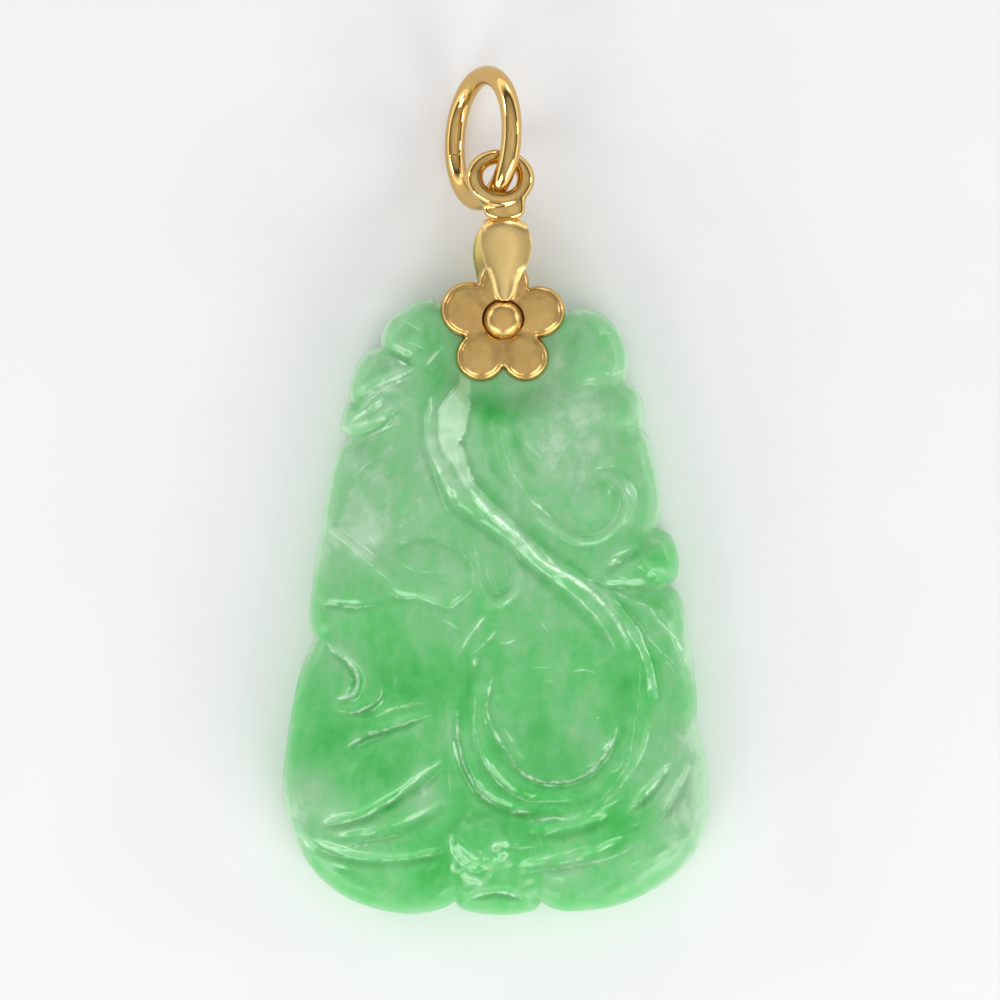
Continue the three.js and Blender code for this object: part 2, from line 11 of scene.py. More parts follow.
import bpy
import numpy as np
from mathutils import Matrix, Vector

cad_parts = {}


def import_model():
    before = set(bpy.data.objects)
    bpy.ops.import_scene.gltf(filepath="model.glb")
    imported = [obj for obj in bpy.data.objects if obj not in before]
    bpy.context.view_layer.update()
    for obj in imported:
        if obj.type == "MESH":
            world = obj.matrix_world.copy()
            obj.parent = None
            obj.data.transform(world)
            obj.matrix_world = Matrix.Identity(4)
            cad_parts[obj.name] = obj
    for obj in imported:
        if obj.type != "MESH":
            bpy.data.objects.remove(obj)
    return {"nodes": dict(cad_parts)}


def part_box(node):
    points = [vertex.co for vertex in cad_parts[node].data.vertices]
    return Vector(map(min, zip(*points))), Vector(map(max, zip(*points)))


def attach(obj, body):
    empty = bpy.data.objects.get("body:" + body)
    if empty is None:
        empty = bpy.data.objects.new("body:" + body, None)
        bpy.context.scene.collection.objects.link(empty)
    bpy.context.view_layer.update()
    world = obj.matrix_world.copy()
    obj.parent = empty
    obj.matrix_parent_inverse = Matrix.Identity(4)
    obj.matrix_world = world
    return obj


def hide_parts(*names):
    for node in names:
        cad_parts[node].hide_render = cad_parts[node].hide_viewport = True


log = logging.getLogger("pendant")

Array = np.ndarray
Point = tuple[float, float]
Colour = tuple[float, float, float, float]

MILLIMETRE = 0.001


def srgb(red: int, green: int, blue: int) -> Colour:
    """A display colour as the linear colour that a shader takes.

    Args:
        red: red, up to 255.
        green: green, up to 255.
        blue: blue, up to 255.

    Returns:
        Linear red, green and blue, and an alpha of 1.
    """
    channel = np.array([red, green, blue]) / 255.0
    linear = np.where(channel <= 0.04045, channel / 12.92, ((channel + 0.055) / 1.055) ** 2.4)
    return (*linear.tolist(), 1.0)


def smoothstep(low: float, high: float, value: Array) -> Array:
    """Rises from 0 at low to 1 at high along 3t^2 - 2t^3, level outside."""
    t = np.clip((np.asarray(value, float) - low) / (high - low), 0.0, 1.0)
    return t * t * (3.0 - 2.0 * t)


def unit(vectors: Array) -> Array:
    """The vectors of the last axis, each divided by its length."""
    return vectors / np.maximum(np.linalg.norm(vectors, axis=-1, keepdims=True), 1e-12)


def full_turn(steps: int) -> Array:
    """Angles spread evenly over one turn, the first of them 0."""
    return np.linspace(0.0, 2.0 * np.pi, steps, endpoint=False)


def border(grid: Array) -> Array:
    """What lies along the edge of a grid, counter-clockwise from its first corner, each corner once."""
    return np.concatenate([grid[0, :-1], grid[:-1, -1], grid[-1, :0:-1], grid[:0:-1, 0]])


def spline(points: tuple, steps: int) -> Array:
    """A smooth line through some points.

    Each span is the cubic that leaves its first point along half the chord between that point's neighbours and
    arrives at its second one in the same way. The end points stand in for their missing neighbours.

    Args:
        points: the points, of any dimension.
        steps: how many pieces each span is cut into.

    Returns:
        Points along the line, one row each.
    """
    p = np.asarray(points, float)
    spans = len(p) - 1
    t = np.linspace(0.0, spans, spans * steps + 1)
    span = np.minimum(t.astype(int), spans - 1)
    w = (t - span)[:, None]
    before, start, end, after = (p[np.clip(span + k, 0, spans)] for k in (-1, 0, 1, 2))
    leave = (end - before) / 2.0
    arrive = (after - start) / 2.0
    cubic = 2.0 * (start - end) + leave + arrive
    square = 3.0 * (end - start) - 2.0 * leave - arrive
    return ((cubic * w + square) * w + leave) * w + start


def nearest(line: Array, points: Array, block: int = 4096) -> tuple[Array, Array, Array]:
    """The nearest place on a line of straight pieces to each of many points.

    A point is dropped at right angles on every piece, held between its ends, and the shortest drop counts.

    Args:
        line: corners of the line, n by 2.
        points: the points, m by 2.
        block: how many points are worked out at a time.

    Returns:
        The distance, the share of the way along the line, and the signed distance, which is positive on the left.
    """
    start = line[:-1]
    run = line[1:] - start
    length2 = np.maximum((run * run).sum(1), 1e-12)
    distance, share, signed = (np.empty(len(points)) for _ in range(3))
    for first in range(0, len(points), block):
        part = points[first : first + block, None, :] - start
        t = np.clip((part * run).sum(2) / length2, 0.0, 1.0)
        drop = part - t[..., None] * run
        d2 = (drop * drop).sum(2)
        best = d2.argmin(1)
        row = np.arange(len(best))
        cross = run[best, 0] * part[row, best, 1] - run[best, 1] * part[row, best, 0]
        distance[first : first + block] = np.sqrt(d2[row, best])
        share[first : first + block] = (best + t[row, best]) / len(run)
        signed[first : first + block] = np.sign(cross) * np.sqrt(d2[row, best])
    return distance, share, signed


def unevenness(places: Array, size: float, seed: int) -> Array:
    """Smooth random values between -1 and 1: one for each corner of a lattice, blended between the corners.

    Args:
        places: X and Y, one row each.
        size: the lattice's cell.
        seed: which random values.

    Returns:
        One value for each place.
    """
    cells = 128
    lattice = np.random.default_rng(seed).uniform(-1.0, 1.0, (cells, cells))
    at = places / size + cells / 2.0
    cell = np.floor(at).astype(int)
    x, y = smoothstep(0.0, 1.0, at - cell).T
    column, row = cell.T % cells
    right, above = (column + 1) % cells, (row + 1) % cells
    low = lattice[row, column] * (1.0 - x) + lattice[row, right] * x
    high = lattice[above, column] * (1.0 - x) + lattice[above, right] * x
    return low * (1.0 - y) + high * y


@dataclass(frozen=True)
class Drawing:
    """The pendant's drawing, laid into the model's frame by the place of its bead."""

    origin_x: float
    origin_y: float

    @classmethod
    def from_frame(cls, bead: Point) -> "Drawing":
        """Finds the drawing's origin.

        Args:
            bead: the bead's middle in the drawing, in millimetres.

        Returns:
            The drawing, placed so that its bead is the frame's bead.
        """
        low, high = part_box("centre_bead")
        middle = (low + high) / (2.0 * MILLIMETRE)
        return cls(middle.x - bead[0], middle.y - bead[1])

    def place(self, points: Array) -> Array:
        """Points of the drawing as points of the frame, in metres."""
        return (np.asarray(points, float) + (self.origin_x, self.origin_y, 0.0)) * MILLIMETRE


class Surface:
    """A mesh that is put together from whole grids and rings of points."""

    def __init__(self) -> None:
        """Starts with no points and no faces."""
        self.points: list[Array] = []
        self.faces: list[Array] = []
        self.count = 0

    def add(self, points: Array) -> Array:
        """Adds a grid of points.

        Args:
            points: an array whose last axis holds X, Y and Z.

        Returns:
            The number of each point, in the grid's own layout.
        """
        flat = np.asarray(points, float).reshape(-1, 3)
        index = np.arange(self.count, self.count + len(flat)).reshape(np.shape(points)[:-1])
        self.points.append(flat)
        self.count += len(flat)
        return index

    def quads(self, index: Array, closed: bool = False) -> None:
        """Covers a grid of numbered points with faces that look towards the side where rows and columns turn left.

        Args:
            index: numbers of the points, rows by columns.
            closed: whether the last column joins the first.
        """
        if closed:
            index = np.hstack([index, index[:, :1]])
        corners = (index[:-1, :-1], index[:-1, 1:], index[1:, 1:], index[1:, :-1])
        self.faces.append(np.stack(corners, axis=-1).reshape(-1, 4))

    def fan(self, hub: int, ring: Array) -> None:
        """Closes a ring of numbered points with triangles to one point."""
        self.faces.append(np.stack([np.full(len(ring), hub), ring, np.roll(ring, -1)], axis=-1))

    def triangles(self, corners: Array) -> None:
        """Adds triangles, given as three numbers a row."""
        self.faces.append(corners)

    def mesh(self, name: str, place: Drawing | None = None) -> bpy.types.Mesh:
        """Makes the Blender mesh.

        Args:
            name: what the mesh is called.
            place: the drawing that turns the points into metres, or None to keep them as they are.

        Returns:
            The mesh, shaded smooth.
        """
        points = np.vstack(self.points)
        if place:
            points = place.place(points)
        sizes = np.concatenate([np.full(len(f), f.shape[1]) for f in self.faces])
        corners = np.concatenate([f.ravel() for f in self.faces])
        starts = np.concatenate([[0], np.cumsum(sizes)[:-1]])
        mesh = bpy.data.meshes.new(name)
        mesh.vertices.add(len(points))
        mesh.vertices.foreach_set("co", points.astype(np.float32).ravel())
        mesh.loops.add(len(corners))
        mesh.loops.foreach_set("vertex_index", corners.astype(np.int32))
        mesh.polygons.add(len(sizes))
        mesh.polygons.foreach_set("loop_start", starts.astype(np.int32))
        mesh.polygons.foreach_set("use_smooth", np.ones(len(sizes), bool))
        mesh.update(calc_edges=True)
        return mesh


def paint(mesh: bpy.types.Mesh, name: str, *values: Array) -> None:
    """Stores one value for each point of the mesh, given as one array or several that follow each other."""
    mesh.attributes.new(name, "FLOAT", "POINT").data.foreach_set("value", np.concatenate(values).astype(np.float32))


def add_object(name: str, data: bpy.types.ID) -> bpy.types.Object:
    """Puts a new object into the scene.

    Args:
        name: what it is called.
        data: its mesh, light or camera.

    Returns:
        The object.
    """
    made = bpy.data.objects.new(name, data)
    bpy.context.scene.collection.objects.link(made)
    return made


def piece(mesh: bpy.types.Mesh, node: str, material: bpy.types.Material) -> bpy.types.Object:
    """Puts a finished mesh into the scene as the stand-in for a node of the frame.

    Args:
        mesh: the mesh, in the model's frame.
        node: the node that it replaces.
        material: its finish.

    Returns:
        The new object, which rides on the only body.
    """
    made = add_object(mesh.name, mesh)
    mesh.materials.append(material)
    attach(made, "root")
    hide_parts(node)
    box = np.array([corner[:] for corner in made.bound_box]) / MILLIMETRE
    log.info("%s: %d faces, %s to %s mm", mesh.name, len(mesh.polygons), box.min(0).round(2), box.max(0).round(2))
    return made


class Nodes:
    """A short way to add linked nodes to a tree."""

    def __init__(self, tree: bpy.types.NodeTree) -> None:
        """Works on the given tree."""
        self.tree = tree

    def add(self, kind: str, inputs: dict | None = None, **settings: object) -> bpy.types.Node:
        """Adds one node.

        Args:
            kind: the node's type.
            inputs: a value or another node's output for each input, by name or number.
            settings: the node's own properties.

        Returns:
            The node.
        """
        node = self.tree.nodes.new(kind)
        for name, value in settings.items():
            setattr(node, name, value)
        for key, value in (inputs or {}).items():
            if isinstance(value, bpy.types.NodeSocket):
                self.tree.links.new(value, node.inputs[key])
            else:
                node.inputs[key].default_value = value
        return node

    def math(self, operation: str, *values: object, clamp: bool = False) -> bpy.types.NodeSocket:
        """The result of one arithmetic step on numbers or outputs."""
        return self.add("ShaderNodeMath", dict(enumerate(values)), operation=operation, use_clamp=clamp).outputs[0]

    def mix(self, factor: object, first: object, second: object, blend: str = "MIX") -> bpy.types.NodeSocket:
        """Two colours mixed by a factor."""
        inputs = {0: factor, 6: first, 7: second}
        return self.add("ShaderNodeMix", inputs, data_type="RGBA", blend_type=blend).outputs[2]

    def noise(self, where: object, scale: float, detail: float = 2.0, **settings: float) -> bpy.types.NodeSocket:
        """Smooth noise between 0 and 1, with scale waves in a metre. The settings name its other inputs."""
        inputs = {"Vector": where, "Scale": scale, "Detail": detail} | {key.title(): settings[key] for key in settings}
        return self.add("ShaderNodeTexNoise", inputs).outputs["Fac"]

    def ramp(self, value: object, *stops: tuple[float, Colour]) -> bpy.types.NodeSocket:
        """A colour for each value.

        Args:
            value: what picks the colour.
            stops: the value and the colour of each stop, in rising order.

        Returns:
            The colour, which changes evenly from stop to stop.
        """
        node = self.add("ShaderNodeValToRGB", {0: value})
        elements = node.color_ramp.elements
        while len(elements) < len(stops):
            elements.new(0.5)
        for element, (position, colour) in zip(elements, stops):
            element.position = position
            element.color = colour
        return node.outputs["Color"]

    def attribute(self, name: str) -> bpy.types.NodeSocket:
        """A value stored on the points of the mesh, 0 where the mesh has none."""
        return self.add("ShaderNodeAttribute", attribute_name=name).outputs["Fac"]

    def spread(
        self, value: object, low: float, high: float, start: float = 0.0, end: object = 1.0
    ) -> bpy.types.NodeSocket:
        """A value that runs from start to end, stretched to run from low to high and level outside."""
        return self.add("ShaderNodeMapRange", {0: value, 1: start, 2: end, 3: low, 4: high}).outputs[0]


def new_material(name: str) -> tuple[bpy.types.Material, Nodes, bpy.types.Node, bpy.types.NodeSocket]:
    """Starts a material.

    Args:
        name: the material's name.

    Returns:
        The material, its nodes, its Principled shader and the place on the object that patterns read.
    """
    material = bpy.data.materials.new(name)
    material.use_nodes = True
    nodes = Nodes(material.node_tree)
    shader = material.node_tree.nodes["Principled BSDF"]
    where = nodes.add("ShaderNodeTexCoord").outputs["Object"]
    return material, nodes, shader, where


def hand_polish() -> bpy.types.NodeTree:
    """The group that every polished surface shares: what buffing by hand leaves behind.

    Broad soft clouds come from two noises, and fine rubbing lines from a third that is drawn out along one axis.

    Returns:
        A group with the sockets Vector, Clouds, Lines in, and Tone, Gloss and Height out.
    """
    name = "hand_polish"
    if name in bpy.data.node_groups:
        return bpy.data.node_groups[name]
    group = bpy.data.node_groups.new(name, "ShaderNodeTree")
    group.interface.new_socket("Vector", in_out="INPUT", socket_type="NodeSocketVector")
    for label, value in (("Clouds", 500.0), ("Lines", 4000.0)):
        socket = group.interface.new_socket(label, in_out="INPUT", socket_type="NodeSocketFloat")
        socket.default_value = value
    for label in ("Tone", "Gloss", "Height"):
        group.interface.new_socket(label, in_out="OUTPUT", socket_type="NodeSocketFloat")
    nodes = Nodes(group)
    given = nodes.add("NodeGroupInput").outputs
    clouds = nodes.noise(given["Vector"], given["Clouds"], 3.0, roughness=0.6)
    stretched = nodes.add("ShaderNodeMapping", {"Vector": given["Vector"], "Scale": (1.0, 0.16, 0.6)}).outputs[0]
    lines = nodes.noise(stretched, given["Lines"], 3.0, roughness=0.7)
    height = nodes.math("MULTIPLY_ADD", lines, 0.25, clouds)
    gloss = nodes.math("MULTIPLY_ADD", lines, 0.5, nodes.math("MULTIPLY", clouds, 0.5))
    nodes.add("NodeGroupOutput", {"Tone": clouds, "Gloss": gloss, "Height": height})
    return group


def polish_on(nodes: Nodes, where: bpy.types.NodeSocket, clouds: float, lines: float) -> bpy.types.Node:
    """Places the shared polish group in a material with values of its own."""
    return nodes.add("ShaderNodeGroup", {"Vector": where, "Clouds": clouds, "Lines": lines}, node_tree=hand_polish())


def finish_with(
    nodes: Nodes, shader: bpy.types.Node, colour: object, gloss: object, height: object, bump: Point, **others: object
) -> None:
    """Feeds a shader.

    Args:
        nodes: the material's nodes.
        shader: its Principled shader.
        colour: its base colour.
        gloss: its roughness.
        height: the height of the fine bumps that polishing leaves.
        bump: how strong and how deep they are, the depth in metres.
        others: uniform values for the shader's other inputs.
    """
    strength, depth = bump
    normal = nodes.add("ShaderNodeBump", {"Strength": strength, "Distance": depth, "Height": height}).outputs["Normal"]
    for name, socket in (("Base Color", colour), ("Roughness", gloss), ("Normal", normal)):
        nodes.tree.links.new(socket, shader.inputs[name])
    for name, value in others.items():
        shader.inputs[name.replace("_", " ")].default_value = value


@dataclass(frozen=True)
class GoldFinish:
    """Yellow gold, from a soft satin to a mirror polish."""

    name: str
    light: Colour = srgb(226, 191, 122)
    deep: Colour = srgb(206, 166, 97)
    # painted shade: the dark colour mixed in where the flower's creases, rim line and bead well fall into shade
    shade_colour: Colour = srgb(120, 74, 30)
    smoothest: float = 0.2
    roughest: float = 0.34
    unpolished: float = 0.3
    clouds: float = 420.0
    lines: float = 5200.0
    bump: float = 0.2
    bump_depth: float = 0.00002

    def material(self) -> bpy.types.Material:
        """Builds the material: clouds shift its tone a little, and fine lines its gloss and its normals.

        Returns:
            The material, with painted shade where the mesh notes shade in creases and hollows, and duller where it
            notes a matte face.
        """
        material, nodes, shader, where = new_material(self.name)
        tone, gloss, height = polish_on(nodes, where, self.clouds, self.lines).outputs
        # painted shade: the dark colour mixed in by the shade noted on the flower's creases, rim line and well
        colour = nodes.mix(nodes.attribute("crevice"), nodes.mix(tone, self.deep, self.light), self.shade_colour)
        gloss = nodes.spread(gloss, self.smoothest, self.roughest)
        gloss = nodes.math("MULTIPLY_ADD", nodes.attribute("matte"), self.unpolished, gloss)
        finish_with(nodes, shader, colour, gloss, height, (self.bump, self.bump_depth), Metallic=1.0)
        return material


@dataclass(frozen=True)
class JadeFinish:
    """Polished jade: green with paler clouds, painted shade deeper in its grooves and painted highlight on its ridges,
    and painted glints, partly frosting, along the fine cuts.
    """

    name: str = "carved_jade_stone"
    vivid: Colour = srgb(52, 178, 72)
    strong: Colour = srgb(84, 192, 100)
    middle: Colour = srgb(116, 197, 125)
    pale: Colour = srgb(142, 198, 147)
    white: Colour = srgb(176, 214, 178)
    # the white of the painted glints along the cuts, partly frosting, and of the painted pale reflections
    frost_and_glint_colour: Colour = srgb(216, 254, 218)
    inclusion: Colour = srgb(58, 96, 52)
    stops: tuple = (0.0, 0.3, 0.55, 0.8, 1.0)
    clouds: float = 330.0
    veins: float = 620.0
    flecks: float = 1500.0
    lines: float = 3000.0
    breaks: float = 2200.0
    specks: float = 170.0
    speck_edge: Point = (0.014, 0.03)
    cloud_shift: float = 0.5
    vein_shift: float = 0.26
    relief_shade_shift: float = 0.11
    fleck_shift: float = 0.2
    waver: float = 0.09
    thinnest: float = 0.045
    widening: float = 0.095
    core: float = 0.02
    gloss: Point = (0.12, 0.27)
    bump: Point = (0.25, 0.00003)

    def stone(self, nodes: Nodes, where: bpy.types.NodeSocket, flecks: bpy.types.NodeSocket) -> bpy.types.NodeSocket:
        """The colour of the stone itself.

        Args:
            nodes: the material's nodes.
            where: the place on the object.
            flecks: the finest noise.

        Returns:
            A green for each place, from vivid to white with the tone, the clouds, the veins and the relief, which
            paints shade deeper green into grooves and a paler highlight onto ridges.
        """
        layout = {"Vector": where, "Rotation": (0.0, 0.0, 0.7), "Scale": (1.0, 0.55, 1.0)}
        drawn_out = nodes.add("ShaderNodeMapping", layout).outputs[0]
        clouds = nodes.noise(drawn_out, self.clouds, 5.0, roughness=0.62, distortion=0.6)
        veins = nodes.noise(drawn_out, self.veins, 4.0, roughness=0.55, distortion=1.6)
        level = nodes.attribute("tone")
        # the relief term is painted light: paler on ridges, painted shade in grooves
        for value, shift in (
            (clouds, self.cloud_shift), (veins, self.vein_shift), (nodes.attribute("relief"), self.relief_shade_shift)
        ):
            level = nodes.math("ADD", level, nodes.spread(value, -shift, shift))
        level = nodes.math("ADD", level, nodes.spread(flecks, -self.fleck_shift, self.fleck_shift), clamp=True)
        greens = (self.vivid, self.strong, self.middle, self.pale, self.white)
        return nodes.ramp(level, *zip(self.stops, greens))

    def frost_and_glint_share(self, nodes: Nodes, where: bpy.types.NodeSocket, flecks: bpy.types.NodeSocket) -> bpy.types.NodeSocket:
        """How white the cuts are: painted glints along them, partly frosting.

        Each layer of lines adds shine times a band round its wavering zero, broken up by noise, to the painted glints
        and frost.

        Args:
            nodes: the material's nodes.
            where: the place on the object.
            flecks: the noise that makes the lines waver.

        Returns:
            A share from 0 to 1 for each place.
        """
        # painted glints along the cuts, partly frosting, broken into pieces by noise
        frost = nodes.attribute("frost")
        glint = nodes.spread(nodes.noise(where, self.breaks, 2.0, roughness=0.6), 0.25, 1.0, 0.38, 0.55)
        for layer in range(LINE_LAYERS):
            shine = nodes.attribute(f"shine_{layer}")
            waver = nodes.spread(flecks, -self.waver, self.waver)
            off = nodes.math("ABSOLUTE", nodes.math("ADD", nodes.attribute(f"line_{layer}"), waver))
            width = nodes.math("MULTIPLY_ADD", shine, self.widening, self.thinnest)
            thin = nodes.spread(off, 1.0, 0.0, self.core, width)
            lit = nodes.math("MULTIPLY", nodes.math("MULTIPLY", shine, thin), glint)
            frost = nodes.math("MAXIMUM", frost, lit)
        return nodes.math("MULTIPLY", frost, 1.0, clamp=True)

    def material(self) -> bpy.types.Material:
        """Builds the material from what the carving leaves on its points.

        Returns:
            The material: the stone with its dark specks, painted glints and frosting along the cuts, and duller at the
                rim.
        """
        material, nodes, shader, where = new_material(self.name)
        flecks = nodes.noise(where, self.flecks, 3.0, roughness=0.7)
        stone = self.stone(nodes, where, flecks)
        white = self.frost_and_glint_share(nodes, where, flecks)
        cells = nodes.add("ShaderNodeTexVoronoi", {"Vector": where, "Scale": self.specks}).outputs["Distance"]
        speck = nodes.spread(cells, 0.8, 0.0, *self.speck_edge)
        # painted glints and frosting whiten the speckled stone
        colour = nodes.mix(white, nodes.mix(speck, stone, self.inclusion), self.frost_and_glint_colour)
        _, gloss, height = polish_on(nodes, where, self.clouds * 3.0, self.lines).outputs
        gloss = nodes.math("MULTIPLY_ADD", white, 0.1, nodes.spread(gloss, *self.gloss))
        gloss = nodes.math("MULTIPLY_ADD", nodes.attribute("rim"), 0.3, gloss)
        depth = {"Subsurface_Weight": 0.35, "Subsurface_Radius": (0.5, 1.0, 0.55), "Subsurface_Scale": 0.0009}
        finish_with(nodes, shader, colour, gloss, height, self.bump, IOR=1.66, **depth)
        return material


class Profile(Enum):
    """How a stroke of the carving is shaped across its line."""

    BELL = "a rounded swelling or furrow"
    CUT = "a sharp cut with low lips"
    STEP = "high on the left of the line and low on its right"


# Painted glint lines, partly frosting, that run close together are kept on layers of their own, so that each stays
# whole.
LINE_LAYERS = 3
# How far away the nearest white line is said to be where there is none.
NO_LINE = 9.0
# How many pieces each span of a stroke is cut into.
STROKE_STEPS = 6


@dataclass
class Carving:
    """What the strokes leave on the face: one value for each of its points, and one for each layer of lines."""

    places: Array
    height: Array
    frost: Array
    line: Array
    shine: Array

    @classmethod
    def blank(cls, places: Array) -> "Carving":
        """A face with nothing carved on it."""
        layers = np.zeros((LINE_LAYERS, len(places)))
        return cls(places, np.zeros(len(places)), np.zeros(len(places)), layers + NO_LINE, layers)

    def near(self, *lines: Array, reach: float) -> Array:
        """Finds the points in the box round some lines.

        Args:
            lines: X and Y along each line.
            reach: how much wider than the lines the box is on every side.

        Returns:
            The numbers of the points.
        """
        corners = np.vstack(lines)
        low, high = corners.min(0) - reach, corners.max(0) + reach
        return np.flatnonzero(((self.places > low) & (self.places < high)).all(1))

    def paint_frost_and_glint(self, near: Array, white: Array) -> None:
        """Paints glints and frost on some points, which stay as white as they were where that is whiter."""
        self.frost[near] = np.maximum(self.frost[near], white)


@dataclass(frozen=True)
class Stroke:
    """One stroke of the carving along a smooth line. A negative height cuts in."""

    profile: Profile
    height: float
    half_width: float
    points: tuple[Point, ...]
    # how strong the painted glint along the line is, partly frosting
    frost: float = 0.0
    taper: float = 1.7
    narrowest: float = 0.6
    longest_taper: float = 0.42
    unevenness: float = 0.1
    line_reach: float = 0.45
    line_fade: Point = (0.42, 0.2)
    # share and width of a painted pale glow beside the glint line
    glow: Point = (0.2, 0.17)

    def across(self, u: Array) -> Array:
        """Height of the stroke across its line.

        A bell is half of 1 + cos(pi u), a cut is a narrower bell with a lip at |u| = 1.3, and a step is tanh(4 u)
        dying out as exp(-u^2).

        Args:
            u: the signed distance from the line over the half width.

        Returns:
            The heights.
        """
        away = np.abs(u)
        inner = np.clip(1.0 - away, 0.0, 1.0)
        match self.profile:
            case Profile.BELL:
                return self.height * (0.5 - 0.5 * np.cos(np.pi * inner))
            case Profile.CUT:
                return self.height * (inner**2 * (3.0 - 2.0 * inner) - 0.25 * np.exp(-(((away - 1.3) / 0.45) ** 2)))
            case Profile.STEP:
                return 0.5 * self.height * np.tanh(4.0 * u) * np.exp(-(away**2))

    def apply(self, face: Carving) -> None:
        """Adds the stroke to the height of the face, and notes the painted glint line, partly frosting, along a frosted
        one.

        Depth and width grow from both ends. A slight beat along the stroke keeps it from looking ruled. A painted glint
        line is kept as the signed distance from it, which stays crisp between the points of the face.

        Args:
            face: the face, changed in place.
        """
        line = spline(self.points, STROKE_STEPS)
        near = face.near(line, reach=self.half_width * (1.0 if self.profile is Profile.BELL else 2.4))
        _, share, signed = nearest(line, face.places[near])
        length = np.linalg.norm(np.diff(line, axis=0), axis=1).sum()
        taper = min(self.taper, self.longest_taper * length)
        ends = smoothstep(0.0, taper, np.minimum(share, 1.0 - share) * length)
        phase = 3.7 * self.points[0][0] + 2.3 * self.points[0][1]
        beat = np.sin(2.9 * share * length + phase) * np.sin(1.7 * share * length - phase)
        width = self.half_width * (self.narrowest + (1.0 - self.narrowest) * ends) * (1.0 + self.unevenness * beat)
        face.height[near] += self.across(signed / width) * ends * (1.0 + 2.0 * self.unevenness * beat)
        # painted glint along the stroke, partly frosting, with a painted pale glow beside it
        if self.frost:
            away = np.abs(signed)
            white = self.frost * np.sqrt(ends) * (0.9 + 0.4 * beat)
            share_of_glow, glow_width = self.glow
            face.paint_frost_and_glint(near, share_of_glow * white * np.exp(-((signed / glow_width) ** 2)))
            beside = near[away < self.line_reach]
            layer = int(face.shine[:, beside].sum(1).argmin()) if len(beside) else 0
            closer = away < np.abs(face.line[layer, near])
            face.line[layer, near[closer]] = signed[closer]
            face.shine[layer, near[closer]] = (white * smoothstep(*self.line_fade, away))[closer]


@dataclass(frozen=True)
class Mound:
    """A pillow with an oval foot, or a dish where its height is negative: height (1 - q^2)^2, q = u^2 + v^2."""

    height: float
    centre: Point
    radii: Point
    degrees: float = 0.0

    def apply(self, face: Carving) -> None:
        """Adds the pillow.

        Args:
            face: the face, changed in place.
        """
        turn = np.radians(self.degrees)
        x, y = (face.places - self.centre).T
        u = (x * np.cos(turn) + y * np.sin(turn)) / self.radii[0]
        v = (y * np.cos(turn) - x * np.sin(turn)) / self.radii[1]
        face.height += self.height * np.clip(1.0 - (u * u + v * v) ** 2, 0.0, 1.0) ** 2


@dataclass(frozen=True)
class Facet:
    """A flat, crisp face between two lines, with a painted pale reflection that makes it paler than the stone round it.
    """

    height: float
    left: tuple[Point, ...]
    right: tuple[Point, ...]
    frost: float

    def apply(self, face: Carving) -> None:
        """Raises what lies right of the left line and left of the right one, both drawn downwards, and paints a pale
        reflection on it.

        Args:
            face: the face, changed in place.
        """
        lines = [spline(points, STROKE_STEPS) for points in (self.left, self.right)]
        near = face.near(*lines, reach=1.0)
        at = face.places[near]
        (_, _, from_left), (_, share, from_right) = (nearest(line, at) for line in lines)
        ragged = 0.07 * unevenness(at, 0.16, 5) + 0.05 * unevenness(at, 0.4, 6)
        within = np.minimum(from_left, ragged - from_right)
        ends = smoothstep(0.0, 0.12, np.minimum(share, 1.0 - share))
        level = smoothstep(-0.1, 0.1, within) * ends
        face.height[near] += self.height * level
        # painted reflection: the facet is whitened
        face.paint_frost_and_glint(near, self.frost * level * (0.8 + 0.2 * unevenness(at, 0.5, 7)))


@dataclass(frozen=True)
class Knot:
    """A crinkled knot: a ragged ring of folds round a small crater, with painted glints on the ring and in the crater.
    """

    height: float
    centre: Point
    radius: float
    waves: tuple = ((0.09, 3.0, 1.0), (0.06, 7.0, 0.0), (0.04, 13.0, 2.0))
    crater_offset: float = 0.75
    crater_depth: float = 0.1
    crater_radius: float = 0.14

    def apply(self, face: Carving) -> None:
        """Adds a ring whose radius and height waver, a second one and wrinkles inside it, and the crater, and paints
        glints along the rings and in the crater.

        Args:
            face: the face, changed in place.
        """
        x, y = (face.places - self.centre).T
        angle = np.arctan2(y, x)
        waver = sum(depth * np.sin(count * angle + phase) for depth, count, phase in self.waves)
        r = np.hypot(x, y) / self.radius
        off = (r - 1.0 - waver) * self.radius
        crumpled = unevenness(face.places, 0.3, 11)
        lower_left = 0.55 - 0.45 * np.cos(angle - np.radians(40.0))
        ring = np.exp(-((off / 0.2) ** 2)) * (0.6 + 0.6 * crumpled) * lower_left
        second = np.exp(-(((off + 0.42) / 0.13) ** 2)) * np.clip(0.5 + crumpled, 0.0, 1.0)
        wrinkles = 0.6 * smoothstep(1.0, 0.7, r) * np.sin(9.0 * angle + 6.0 * r) * unevenness(face.places, 0.5, 12)
        x = x - self.crater_offset
        crater = self.crater_depth * np.exp(-((x**2 + y**2) / self.crater_radius**2))
        face.height += self.height * (ring + 0.5 * second + 0.5 * wrinkles) - crater
        # painted glints along the rings, stronger on the lower left, and a painted glint in the crater
        white = np.clip(0.35 * ring * (0.5 + crumpled), 0.0, 0.3) + 0.15 * second * np.clip(crumpled, 0.0, 1.0)
        crater_glint = 0.5 * np.exp(-(((np.hypot(x, y) - 0.16) / 0.07) ** 2))
        face.frost = np.maximum(face.frost, np.maximum(white, crater_glint))


def ridge(height: float, half_width: float, *points: Point) -> Stroke:
    """A rounded ridge through the points."""
    return Stroke(Profile.BELL, height, half_width, points)


def groove(depth: float, half_width: float, *points: Point) -> Stroke:
    """A rounded furrow through the points."""
    return Stroke(Profile.BELL, -depth, half_width, points)


